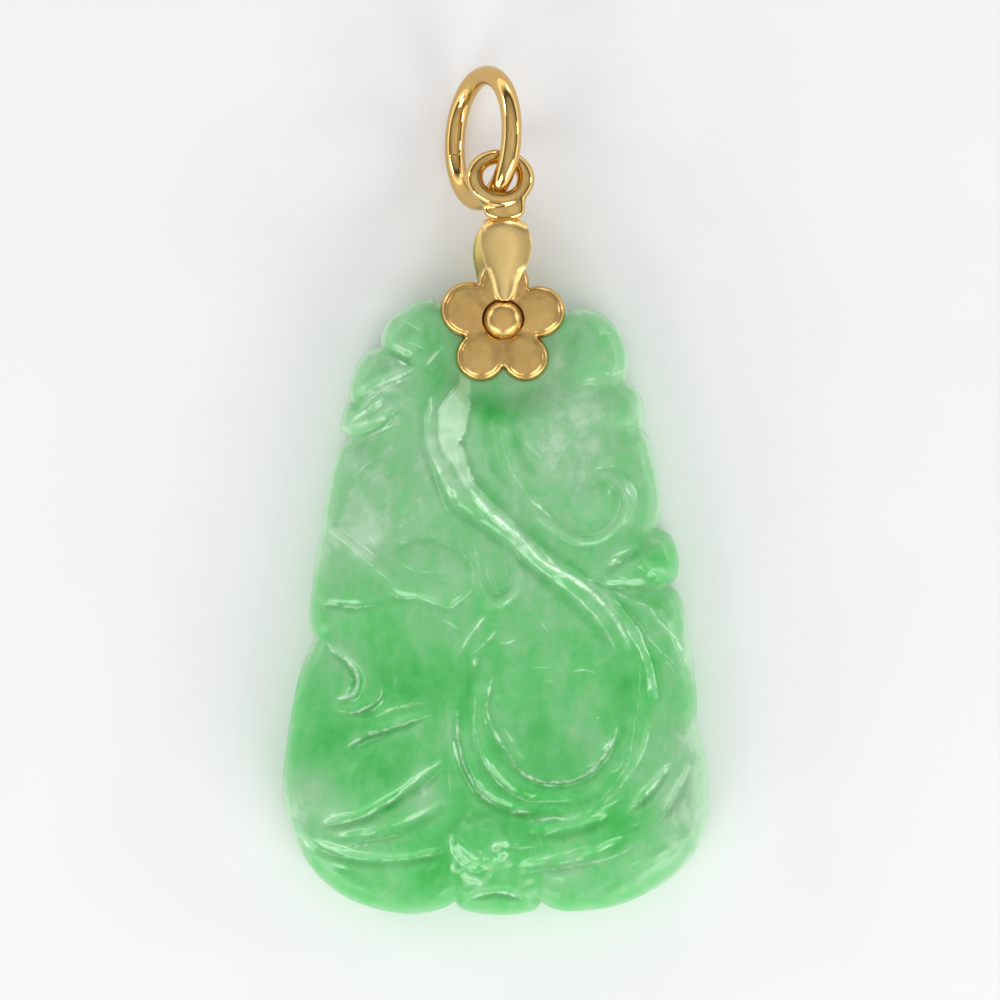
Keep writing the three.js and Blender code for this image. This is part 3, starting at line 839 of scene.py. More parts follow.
def cut(depth: float, frost: float, *points: Point, width: float = 0.3) -> Stroke:
    """A fine sharp cut through the points, with a painted glint, partly frosting, as white as its frost says."""
    return Stroke(Profile.CUT, -0.42 * depth, width, points, frost, 1.0, 0.5)


def step(height: float, reach: float, frost: float, *points: Point) -> Stroke:
    """An edge through the points, with the high side on its left and a painted glint as strong as its frost."""
    return Stroke(Profile.STEP, height, reach, points, frost, 1.0, 0.7)


# The broad forms, which are also those of the solid.
BROAD_FORMS: tuple = (
    # long stem from the flower down to the great curl
    ridge(0.36, 1.0, (-1.7, 7.7), (-2.15, 6.2), (-3, 4.25), (-3.1, 3), (-2.25, 1.1), (-1, -0.1), (1.35, -2.15),
          (4.15, -4.35), (5.35, -5.5), (6.5, -7.5), (7, -9.85), (6.7, -11.75), (5.85, -13.75), (4.5, -15.2),
          (2.6, -15.7)),
    groove(0.22, 0.5, (-1.6, 7.4), (-1.65, 6), (-1.7, 4), (-2, 2.6), (-1.2, 1), (0.4, -0.6), (2.4, -2.4), (4.6, -4),
           (6.3, -5.6), (7.6, -7.9), (8.1, -10.4)),
    groove(0.22, 0.5, (-3.4, 6.3), (-3.8, 4.6), (-3.8, 3), (-3.2, 1.2), (-2.3, -0.3), (-0.6, -1.5), (1.2, -3),
           (3, -4.6), (4.6, -6.1), (5.6, -7.7)),
    # great curl: its band, its dish and the groove outside it
    ridge(0.36, 0.62, (-0.45, -7.6), (-0.95, -8.75), (-1.15, -10.25), (-0.95, -11.75), (-0.25, -13), (0.9, -14.05),
          (2.5, -14.55), (4.1, -14.4), (5.35, -13.45), (6.05, -12)),
    Mound(-0.4, (2.85, -10.6), (2.9, 2.9)),
    groove(0.32, 0.5, (-2.15, -10.4), (-2.1, -12), (-1.5, -13.85), (-0.15, -15.2), (2, -15.6), (4.2, -15.4)),
    # upper right scroll
    ridge(0.3, 0.55, (1.05, 0.65), (1.85, -0.6), (3.15, -1.7), (4.5, -1.95), (5.85, -1.2), (6.35, 0),
          (5.85, 1.05), (4.9, 1.5)),
    Mound(0.25, (4.5, -0.1), (1.2, 1.1)),
    # teardrop loop and the bud beside it
    ridge(0.26, 0.5, (-1.5, -1.65), (-1.25, -3), (-1.15, -4), (-0.65, -5), (0.1, -5.1), (0.8, -4.3), (0.85, -3),
          (0.15, -2)),
    Mound(0.45, (-3.5, -3.6), (2.4, 1.75), -12),
    # lines and the level cut on the left
    ridge(0.22, 0.65, (-8.9, -1.1), (-7.4, -2.4), (-6, -3.5), (-4.5, -4.8)),
    groove(0.2, 0.45, (-9.3, -5.2), (-7.5, -5.25), (-5.6, -5.1)),
    # two hooks
    groove(0.42, 0.5, (-8.85, -7.15), (-7.65, -8.15), (-7.1, -8.85), (-7.35, -9.65), (-8.1, -9.9)),
    groove(0.3, 0.45, (-5.9, -9.15), (-6, -10), (-6.85, -10.5), (-8.35, -10.4)),
    groove(0.3, 0.45, (-7.75, -12.4), (-5.75, -11.5), (-3.4, -10.7)),
    # large lobes
    Mound(0.4, (-7.6, -13.7), (3, 2.5), 20),
    Mound(0.3, (8, -17.2), (2.9, 1.8), 50),
    Mound(0.25, (8, -2.85), (1.3, 1.25)),
    Mound(0.4, (5, 7.4), (2.1, 2)),
    Mound(0.25, (6, 4.7), (1.6, 1.2)),
    # leaf of three lobes on the upper left, and the cuts between them
    Mound(0.38, (-4.7, 8.55), (1.9, 1.35), 30),
    Mound(0.38, (-6.2, 6.3), (1.9, 1.3), 28),
    Mound(0.3, (-6.5, 4.3), (1.7, 0.85), 28),
    groove(0.35, 0.5, (-6, 7.65), (-5, 7.2), (-4.1, 6.6)),
    groove(0.35, 0.5, (-7.5, 4.9), (-6.25, 5.6), (-4.3, 6.5)),
    groove(0.35, 0.5, (-7.5, 3.1), (-6, 3.75), (-4.8, 4.7)),
    # feather cuts on the lower left
    groove(0.4, 0.5, (-2.85, -13.2), (-4.5, -14.5), (-6.5, -15.7), (-9.1, -16.35)),
    groove(0.3, 0.5, (-2.5, -15.15), (-5, -16.4), (-8.5, -17)),
    groove(0.3, 0.5, (-2.5, -17.5), (-4.85, -18), (-7.15, -17.95), (-9.3, -17.2)),
    # crinkled knot low in the middle
    Mound(0.5, (-1, -17), (1.55, 1.55)),
    # feather cuts on the lower right
    groove(0.35, 0.5, (8.5, -13.1), (7.5, -14.5), (6.4, -15.6)),
    groove(0.3, 0.5, (9.5, -13.2), (8.8, -14.9), (7.6, -16.2)),
    groove(0.3, 0.5, (0.9, -16.7), (3.6, -16.5), (5.8, -15.7)),
    groove(0.3, 0.5, (0.85, -18.3), (4.1, -17.9), (6.9, -16.7)),
    # fan of the leaf on the right, and its lower edge
    groove(0.28, 0.45, (4.9, -3.85), (6, -3.1), (7.1, -2.3)),
    groove(0.28, 0.45, (5, -4.3), (6.4, -4.3), (7.8, -4.4)),
    ridge(0.3, 0.5, (5.65, -4.75), (7.35, -5.4), (8.5, -6.8), (9.2, -8.8)),
    # ribs to the right of the stem
    groove(0.24, 0.45, (-0.5, 5.2), (-0.7, 3.5), (-0.2, 1.6), (0.9, 0.2)),
    groove(0.24, 0.45, (0.75, 5), (0.7, 3.5), (1.2, 2), (2.2, 0.8)),
    # arc over the tab
    groove(0.3, 0.45, (-1.7, -20), (-0.1, -19.6), (1.5, -20.05)),
)

# The fine strokes, from the top of the stone to its foot.
FINE_STROKES: tuple = (
    # leaf on the upper left
    cut(0.16, 0.9, (-3.8, 6.55), (-3.35, 7.1), (-2.75, 7.8), width=0.3),
    cut(0.12, 0.9, (-7, 5.15), (-6, 5.75), (-5, 6.15), (-4.2, 6.65)),
    cut(0.1, 0.8, (-6, 5.5), (-5.1, 5.9), (-4.4, 6.25)),
    cut(0.08, 0.3, (-5, 9.1), (-4.25, 8.6), (-3.75, 8.4)),
    cut(0.1, 0.35, (-4.75, 7.9), (-4.1, 7.7), (-3.6, 7.4)),
    cut(0.12, 0.9, (-7.75, 3.75), (-7, 4.25), (-6.25, 4.75), (-5.75, 5.1)),
    cut(0.08, 0.35, (-6.75, 4.4), (-5.75, 5)),
    cut(0.08, 0.2, (-5.85, 3.75), (-5.15, 4.25)),
    cut(0.07, 0.3, (-7.4, 1), (-6.75, 1.7), (-6.1, 2.1)),
    cut(0.07, 0.1, (-5.85, 1.1), (-5.1, 1.7)),
    # stem: its flat facet and the twin lines beside it
    Facet(0.14, ((-1.95, 6.6), (-2.1, 5.7), (-2.9, 4.7), (-3.05, 3.55), (-2.86, 2.5), (-2.35, 1.85), (-1.84, 0.86),
                 (-1.3, 0.2)),
          ((-1.4, 6.6), (-1.5, 5.8), (-1.52, 4.4), (-1.7, 3.6), (-2, 2.9), (-1.7, 2.3), (-1.45, 1.3), (-1.0, 0.4)),
          0.5),
    cut(0.12, 0.3, (-3.7, 4.75), (-3.75, 3.5), (-3.55, 2.25), (-3.2, 1), (-2.75, -0.25), (-2.5, -0.7)),
    cut(0.1, 0.35, (-3.35, 2.25), (-3, 1.35), (-2.55, 0.35), (-2.1, -0.75)),
    # long diagonal
    Facet(0.05, ((-1.71, 0.5), (-1.07, -0.29), (-0.05, -1.18), (0.84, -1.95), (1.48, -2.59), (2.37, -3.35),
                 (3.39, -3.86), (4.67, -4.88), (5.6, -6), (6.3, -7.4)),
          ((-1.5, 0.9), (-0.95, 0.35), (-0.2, -0.4), (0.66, -1.2), (1.3, -1.95), (2.3, -2.76), (2.9, -3.25),
           (4.05, -4.1), (5.1, -5.0), (5.95, -6.16), (6.55, -7.3)), 0.26),
    step(0.2, 0.6, 1.0, (-1.6, 0.75), (-0.85, -0.25), (0, -1.05), (0.75, -1.6), (1.35, -2.25), (2, -3), (3, -3.55),
         (4, -4.15), (4.85, -4.85), (5.5, -5.6), (6, -6.4), (6.5, -7.5)),
    cut(0.12, 0.8, (1.9, -2.25), (2.5, -3), (2.85, -3.3)),
    cut(0.12, 0.5, (1, -2.65), (2.25, -3.65), (3.5, -4.6), (4.5, -5.5), (5.25, -6.5), (5.85, -7.6)),
    cut(0.08, 0.3, (-1.25, -0.35), (-0.75, -0.9)),
    # scroll on the upper right
    cut(0.12, 0.7, (4.55, 1.5), (5.25, 1.65), (5.85, 1.7)),
    cut(0.14, 0.6, (4.25, 0.5), (4.8, 0.95), width=0.3),
    cut(0.12, 0.25, (5, 1), (5.6, 0.65), (5.95, 0), (5.75, -0.9), (5.15, -1.5), (4.5, -1.75), (3.75, -1.6),
        (3.1, -1.15), (2.65, -0.5)),
    cut(0.1, 0.2, (6.15, 0.5), (6.4, -0.15), (6.1, -1), (5.4, -1.85), (4.5, -2.25), (3.5, -2.15), (2.5, -1.5),
        (1.75, -0.75)),
    cut(0.14, 0.75, (1.4, 0.15), (2, -0.4), (2.65, -1)),
    # ribs and short marks above the scroll
    cut(0.1, 0.5, (1.1, 3), (1.65, 2.5), (2.15, 1.9)),
    cut(0.08, 0.3, (2.35, 1.9), (2.25, 0.9)),
    cut(0.07, 0.1, (0.1, 3.75), (0.1, 2.6), (0.25, 1.5)),
    cut(0.07, 0.15, (0.8, 3.75), (0.85, 3)),
    cut(0.08, 0.4, (3.5, 3), (3.75, 3.3)),
    cut(0.08, 0.1, (-0.75, 4.4), (-0.95, 2.9), (-0.9, 1)),
    cut(0.08, 0.0, (-0.05, 4.3), (-0.1, 2.7), (0.6, 0.9)),
    cut(0.08, 0.1, (0.85, 4.2), (1.1, 2.7), (2.2, 1)),
    cut(0.06, 0.3, (2.25, 0.9), (2.9, 2.1), (3.6, 3.2)),
    cut(0.07, 0.35, (0, 3.15), (0.6, 1.4), (1.5, 0.1)),
    # top right lobes
    cut(0.1, 0.3, (4, 5.7), (4.5, 5.8), (5, 5.7)),
    cut(0.08, 0.5, (5.25, 6), (5.4, 6.4)),
    cut(0.08, 0.35, (5.5, 6.2), (6.2, 6.5)),
    cut(0.1, 0.5, (4.9, 8.3), (5.25, 8.4), (5.6, 8.3)),
    # fan of the leaf on the right
    cut(0.12, 0.7, (5.45, -2.85), (6.1, -2.6), (6.85, -2.3)),
    cut(0.12, 0.55, (5.3, -3.25), (6.1, -3.05)),
    cut(0.09, 0.35, (6.85, -3.35), (7.35, -3.6)),
    cut(0.09, 0.35, (7.5, -3.6), (7.9, -3.85)),
    cut(0.09, 0.3, (5.5, -3.7), (6.5, -4)),
    cut(0.12, 0.35, (4.25, -3.85), (5, -4.1), (6, -4.4), (7.65, -4.5)),
    cut(0.1, 0.6, (5.6, -4.5), (6.35, -4.9)),
    cut(0.12, 0.7, (6.6, -5), (7.4, -5.35), (7.9, -6), (8.4, -6.5), (8.8, -7), (9.2, -7.75), (9.5, -8.7)),
    cut(0.12, 0.3, (6.25, -5.35), (7, -6.25), (7.75, -7.25), (8.6, -8.1), (9.35, -9)),
    # teardrop
    cut(0.12, 0.25, (-1.35, -2), (-1.15, -3), (-1, -4), (-0.65, -4.9), (-0.15, -5.3), (0.25, -5.25), (0.75, -4.75),
        (1.05, -3.9), (1, -3), (0.6, -2.25), (0, -1.5)),
    cut(0.1, 0.2, (-0.8, -2.75), (-0.6, -3.75), (-0.35, -4.5), (0.15, -4.6), (0.55, -4), (0.55, -3.1), (0.15, -2.25)),
    # bud
    cut(0.1, 0.25, (-5.85, -2.85), (-5, -2.25), (-3.75, -1.85), (-2.75, -2.15), (-1.85, -2.65), (-1.35, -3.5),
        (-1.4, -4.4)),
    cut(0.14, 0.5, (-5.65, -4.6), (-5, -4.85), (-4, -4.9), (-3.25, -5.15), (-2.5, -5.35), (-1.85, -4.9),
        (-1.35, -4.4)),
    cut(0.08, 0.25, (-5, -3.1), (-4.4, -3.45), (-3.5, -3.6), (-2.25, -3.5)),
    cut(0.06, 0.1, (-3.5, -3.9), (-2.25, -4)),
    # left side
    cut(0.12, 0.55, (-8, -1.35), (-7.4, -1.85), (-6.75, -2.35), (-6.1, -2.9)),
    cut(0.1, 0.4, (-8.6, -1.5), (-7.75, -2.15), (-6.9, -2.85), (-6, -3.6), (-5.25, -4.25)),
    cut(0.08, 0.5, (-6.6, -1.75), (-6.15, -2.25)),
    cut(0.07, 0.4, (-5.25, -2.2), (-4.65, -2.05)),
    cut(0.07, 0.3, (-3.6, -1.65), (-3.15, -1.9)),
    cut(0.07, 0.3, (-5, -0.85), (-4.55, -0.4)),
    cut(0.07, 0.3, (-5.05, -1.4), (-4.65, -1.05)),
    cut(0.07, 0.2, (-5.85, 0), (-5.4, -0.25)),
    cut(0.12, 0.7, (-9.15, -5.25), (-8.5, -5.2), (-7.75, -5.3), (-7, -5.35), (-6.1, -5.2)),
    cut(0.08, 0.0, (-7, -6), (-6.6, -6.75), (-6.35, -7.5), (-6, -8.25)),
    # hooks
    cut(0.18, 1.0, (-8.75, -7), (-8.35, -7.5), (-7.75, -7.9), (-7.4, -8.3), (-7.15, -8.75), (-7.15, -9.4),
        (-7.5, -9.75), (-8.1, -9.9), width=0.3),
    cut(0.14, 1.0, (-7.05, -9.3), (-7.3, -9.65), (-7.8, -9.85), (-8.3, -9.95), width=0.42),
    cut(0.14, 0.7, (-5.9, -9.15), (-5.95, -9.75), (-6.35, -10.15), (-6.9, -10.45), (-7.5, -10.6), (-8.35, -10.4)),
    cut(0.08, 0.4, (-5.15, -8.75), (-5.3, -9.25)),
    cut(0.12, 0.6, (-6.3, -10.85), (-5.5, -10.45), (-4.5, -10.2), (-3.5, -10.1)),
    cut(0.14, 0.7, (-7.75, -12.4), (-6.9, -11.85), (-5.75, -11.45), (-4.5, -11.05), (-3.4, -10.7)),
    step(0.12, 0.6, 0.0, (-7.75, -13.9), (-7.1, -13.25), (-6.5, -12.5), (-6, -12)),
    # great curl, outside
    cut(0.16, 0.7, (-2.15, -10.4), (-2.1, -11.75), (-1.9, -12.85), (-1.5, -13.85), (-1, -14.65), (0, -15.3)),
    cut(0.1, 0.35, (-1.2, -9.5), (-1.3, -10.75), (-1.25, -12), (-1, -13)),
    cut(0.12, 0.8, (-0.65, -5.65), (-1.5, -6.75), (-2.35, -8.1)),
    cut(0.1, 0.7, (-0.1, -6.4), (-0.75, -7.1), (-1.5, -7.75)),
    cut(0.1, 0.6, (-0.15, -7.1), (0.35, -7.1), (0.85, -6.9)),
    cut(0.08, 0.3, (2, -6), (2.4, -6.6)),
    # great curl, inside
    cut(0.07, 0.25, (1.5, -8.35), (2.65, -8.35)),
    cut(0.07, 0.35, (3.5, -8.6), (4.15, -8.45), (4.8, -8.6)),
    cut(0.06, 0.25, (2.15, -9.05), (2.65, -9)),
    cut(0.08, 0.5, (4.8, -10.8), (4.95, -10.9)),
    cut(0.18, 0.85, (-0.35, -8.85), (-0.55, -9.5), (-0.65, -10.5), (-0.4, -11.25), (0, -12), (0.5, -12.75),
        (0.9, -13.4), (1.75, -13.9), (2.5, -14.05), (3.6, -13.95), (4.5, -13.5), (5.15, -12.75), (5.65, -12),
        (5.85, -11.2), width=0.28),
    cut(0.08, 0.4, (0.2, -11.3), (0.7, -12.15), (1.25, -12.95), width=0.2),
    cut(0.12, 0.35, (-1.25, -11), (-1, -12.5), (-0.5, -13.5), (0.25, -14.35), (1.25, -14.95), (2.25, -15),
        (3.75, -15)),
    cut(0.06, 0.3, (-2.6, -13), (-2.5, -14), (-2.45, -14.8)),
    cut(0.08, 0.45, (5.55, -11.6), (5.1, -12.85), (3.9, -13.45)),
    cut(0.1, 0.9, (-1.2, -7.8), (-1.3, -8.3)),
    cut(0.07, 0.4, (-2.9, -5.95), (-2.4, -6.2), (-2.05, -6.5)),
    # bands down the right
    cut(0.12, 0.3, (7, -8), (6.9, -10), (6.6, -11.75), (6.4, -13), (5.6, -14.25), (5, -15)),
    cut(0.12, 0.5, (7.5, -11), (7.25, -12.25), (6.75, -13.25), (6, -14.25), (5.15, -15.15)),
    cut(0.08, 0.4, (5.35, -13.6), (6, -13.25), (6.2, -12.25)),
    cut(0.14, 0.85, (8.6, -13), (8, -13.9), (7.25, -14.75), (6.25, -15.65)),
    cut(0.1, 0.45, (9.6, -13), (9.3, -13.75), (8.9, -14.5), (8.4, -15.4), (7.75, -16.25)),
    cut(0.08, 0.15, (8.15, -10), (8.25, -12), (8, -13.25)),
    # lower right
    cut(0.12, 0.6, (0.4, -15.65), (1, -15.5), (1.65, -15.55)),
    cut(0.12, 0.65, (1.35, -16), (2.5, -15.85), (3.5, -15.85), (4.6, -15.4)),
    cut(0.08, 0.45, (2.15, -16.7), (3.15, -16.35)),
    cut(0.1, 0.35, (0.85, -18.65), (2.5, -18.45), (4.5, -18.1), (6, -17.65), (7, -16.9)),
    cut(0.08, 0.4, (5, -17.4), (5.75, -17.1)),
    cut(0.08, 0.3, (6.4, -16.3), (7, -16.1)),
    cut(0.08, 0.25, (1.5, -18), (3, -17.65), (4.5, -17.15)),
    # knot and tab
    Knot(0.09, (-0.95, -17.3), 1.5),
    cut(0.06, 0.6, (-2.3, -16.3), (-2.45, -17), (-2.3, -17.8), (-1.75, -18.3)),
    cut(0.06, 0.45, (-2.1, -16.9), (-1.95, -17.6), (-1.3, -18.1), (-0.5, -18.3), (0.1, -18.0)),
    cut(0.06, 0.4, (-0.4, -16.9), (-0.1, -17.2), (-0.3, -17.6)),
    cut(0.08, 0.3, (0.25, -17.25), (1.1, -17.35), (1.9, -17.25)),
    cut(0.08, 0.6, (0.15, -18.1), (0.4, -17.6)),
    cut(0.14, 0.75, (-1.65, -20), (-1, -19.75), (0, -19.6), (0.75, -19.75), (1.35, -20.1), width=0.28),
    # lower left
    cut(0.18, 0.6, (-2.85, -12.95), (-3.5, -13.4), (-4.5, -14.15), (-5.25, -14.85), (-6, -15.25), (-6.75, -15.75),
        (-7.75, -16.05), (-9.1, -16.3)),
    cut(0.1, 0.3, (-2.75, -13.25), (-3.75, -14.15), (-4.75, -14.85)),
    cut(0.12, 0.35, (-2.25, -15), (-3.25, -15.25), (-4.5, -15.9), (-5.5, -16.25)),
    cut(0.12, 0.35, (-4.75, -16.6), (-5.75, -16.85), (-6.75, -17), (-8, -17.4)),
    cut(0.12, 0.65, (-6.15, -17.1), (-7, -17.25), (-7.75, -17.5), (-8.75, -17.25), (-9.4, -16.9)),
    cut(0.1, 0.3, (-2.75, -17.5), (-4, -17.8), (-5.5, -17.95), (-7, -17.9), (-8.25, -17.75), (-9.5, -17.25)),
    cut(0.08, 0.2, (-6.9, -18.45), (-7.75, -18.4), (-8.5, -18.25)),
    cut(0.08, 0.5, (-10.1, -16.6), (-9.6, -17.3), (-8.9, -17.8)),
)

# Where the stone is paler, or deeper green where the amount is negative: X, Y, radius, amount.
TONE_PATCHES: tuple = (
    (-6.5, -2.0, 2.4, 0.14), (9.2, -14.5, 2.4, 0.4), (8.8, -17.5, 2.2, 0.35), (-9.4, -16.0, 1.9, 0.35),
    (4.1, -11.3, 1.5, 0.32), (3.6, 2.6, 3.0, 0.1), (-5.4, 2.5, 1.2, 0.1), (-8.2, -7.4, 1.8, 0.16),
    (9.3, -7.2, 1.6, 0.2), (6.6, 4.6, 1.6, 0.12), (-3.6, -14.1, 1.3, 0.15), (-2.0, 4.2, 0.9, 0.1),
    (-3.25, -9.2, 1.5, -0.34), (-4.75, -8.9, 1.3, -0.2), (1.2, -15.5, 1.7, -0.25), (5.8, -16.0, 1.2, -0.4),
    (-3.2, -18.0, 1.6, -0.25), (-6.3, -13.0, 1.7, -0.14), (-0.25, 4.4, 1.0, -0.34), (0.1, 2.6, 1.0, -0.2),
    (-3.2, 6.1, 0.9, -0.28), (-3.4, 7.9, 0.8, -0.16), (6.0, -9.2, 1.0, -0.2), (7.3, -9.2, 1.0, -0.2),
    (1.9, -10.2, 1.5, -0.16), (-0.3, -12.6, 1.0, -0.2), (8.0, -2.9, 1.0, -0.34), (-5.5, -6.5, 2.2, -0.12),
    (5.0, 7.5, 1.3, -0.14), (-1.2, -6.6, 1.4, -0.06), (-4.4, -3.4, 1.6, -0.08), (-1.0, -13.8, 1.2, -0.12),
    (-2.2, -11.8, 0.9, 0.26), (1.5, -6.9, 2.0, 0.2), (-9.4, -14.4, 1.2, 0.24), (-8.8, -8.2, 1.6, 0.16),
    (-3.9, -14.9, 0.9, 0.3), (9.7, -11.8, 1.2, 0.36), (4.0, -18.8, 2.0, 0.14), (-5.7, -13.3, 0.9, -0.26),
    (2.2, -14.6, 1.3, -0.24), (2.0, -11.4, 0.6, -0.2), (4.6, -9.6, 0.9, 0.24), (-2.6, -3.9, 1.2, 0.16),
)


@dataclass
class Outline:
    """The edge of the stone, counter-clockwise, one smooth curve from each notch to the next.

    Each curve is given by its notch and the points after it, and ends at the next one's notch.
    """

    scale: float = 1.0
    lobes: tuple = (
        # lower left lobe, from the notch in the left side round to the notch in the foot
        ((-9.25, -6.9), (-10, -8.5), (-10.4, -10.25), (-10.75, -12.5), (-10.9, -14.35), (-10.55, -16.25),
         (-9.6, -18.25), (-8.25, -19.65), (-6.5, -20.45), (-4.5, -20.8), (-3, -20.55)),
        # tab at the foot
        ((-2.25, -20.15), (-1.75, -20.62), (0, -20.85), (1.6, -20.65)),
        # lower right lobe
        ((2.05, -20.2), (3, -20.62), (4.5, -20.6), (6.25, -20.25), (8.25, -19.25), (9.5, -18.05), (10.25, -16.65),
         (10.48, -14.75), (10.35, -13), (10.05, -11.75)),
        # right side
        ((9.85, -11.1), (9.9, -10), (9.7, -8.25), (9.4, -6.25), (9.05, -4.85)),
        # small lobe on the right
        ((8.45, -4.25), (8.85, -3.9), (9, -3.15), (8.8, -2.25), (8.45, -1.65)),
        # upper right side
        ((7.85, -1.4), (8.05, -0.5), (8, 0.75), (7.75, 1.85), (7.5, 3)),
        # right shoulder
        ((7.1, 3.6), (7.3, 4.35), (7.1, 5.15), (6.8, 5.6)),
        # top right lobe
        ((6.3, 6), (6.45, 7.1), (6.1, 8.25), (5.4, 9.1), (4.7, 9.5), (3.9, 9.6)),
        # top edge under the flower
        ((3.35, 9.45), (2.5, 9.9), (0.15, 10.05), (-2.25, 9.95), (-3.05, 9.85)),
        # first leaf lobe
        ((-3.35, 10.08), (-4.1, 10), (-5, 9.5), (-5.65, 8.9), (-5.95, 8.25)),
        # second leaf lobe
        ((-5.98, 7.65), (-6.5, 7.52), (-7, 7.1), (-7.4, 6.35), (-7.55, 5.5)),
        # third leaf lobe
        ((-7.45, 4.9), (-7.75, 4.75), (-7.9, 4.25), (-7.98, 3.6)),
        # left side
        ((-7.5, 3.15), (-8.15, 2.4), (-8.45, 1.5), (-8.75, 0), (-9.05, -1.75), (-9.35, -3.75), (-9.55, -5.5),
         (-9.5, -6.4)),
    )
    steps: int = 16

    def __post_init__(self) -> None:
        """Draws the closed line."""
        self.notches = [self.scale * np.array(lobe[0]) for lobe in self.lobes]
        curves = [(*lobe, after[0]) for lobe, after in zip(self.lobes, self.lobes[1:] + self.lobes[:1])]
        self.line = self.scale * np.vstack([spline(curve, self.steps)[:-1] for curve in curves])
        self.closed = np.vstack([self.line, self.line[:1]])

    def side(self, start: Point, end: Point, shares: Array) -> Array:
        """Points along the edge between two corners, with the notches on the way kept sharp.

        Args:
            start: a place near the first corner.
            end: a place near the second corner, further round counter-clockwise.
            shares: how far along each point lies, from 0 to 1.

        Returns:
            One point for each share.
        """
        first, last = (int(np.hypot(*(self.line - corner).T).argmin()) for corner in (start, end))
        count = (last - first) % len(self.line)
        run = self.line[(first + np.arange(count + 1)) % len(self.line)]
        length = np.concatenate([[0.0], np.cumsum(np.hypot(*np.diff(run, axis=0).T))])
        points = np.stack([np.interp(shares * length[-1], length, run[:, axis]) for axis in (0, 1)], axis=1)
        for notch in self.notches:
            away = np.hypot(*(points - notch).T)
            near = int(away.argmin())
            if 0 < near < len(points) - 1 and away[near] < length[-1] / len(points) / 2.0:
                points[near] = notch
        return points


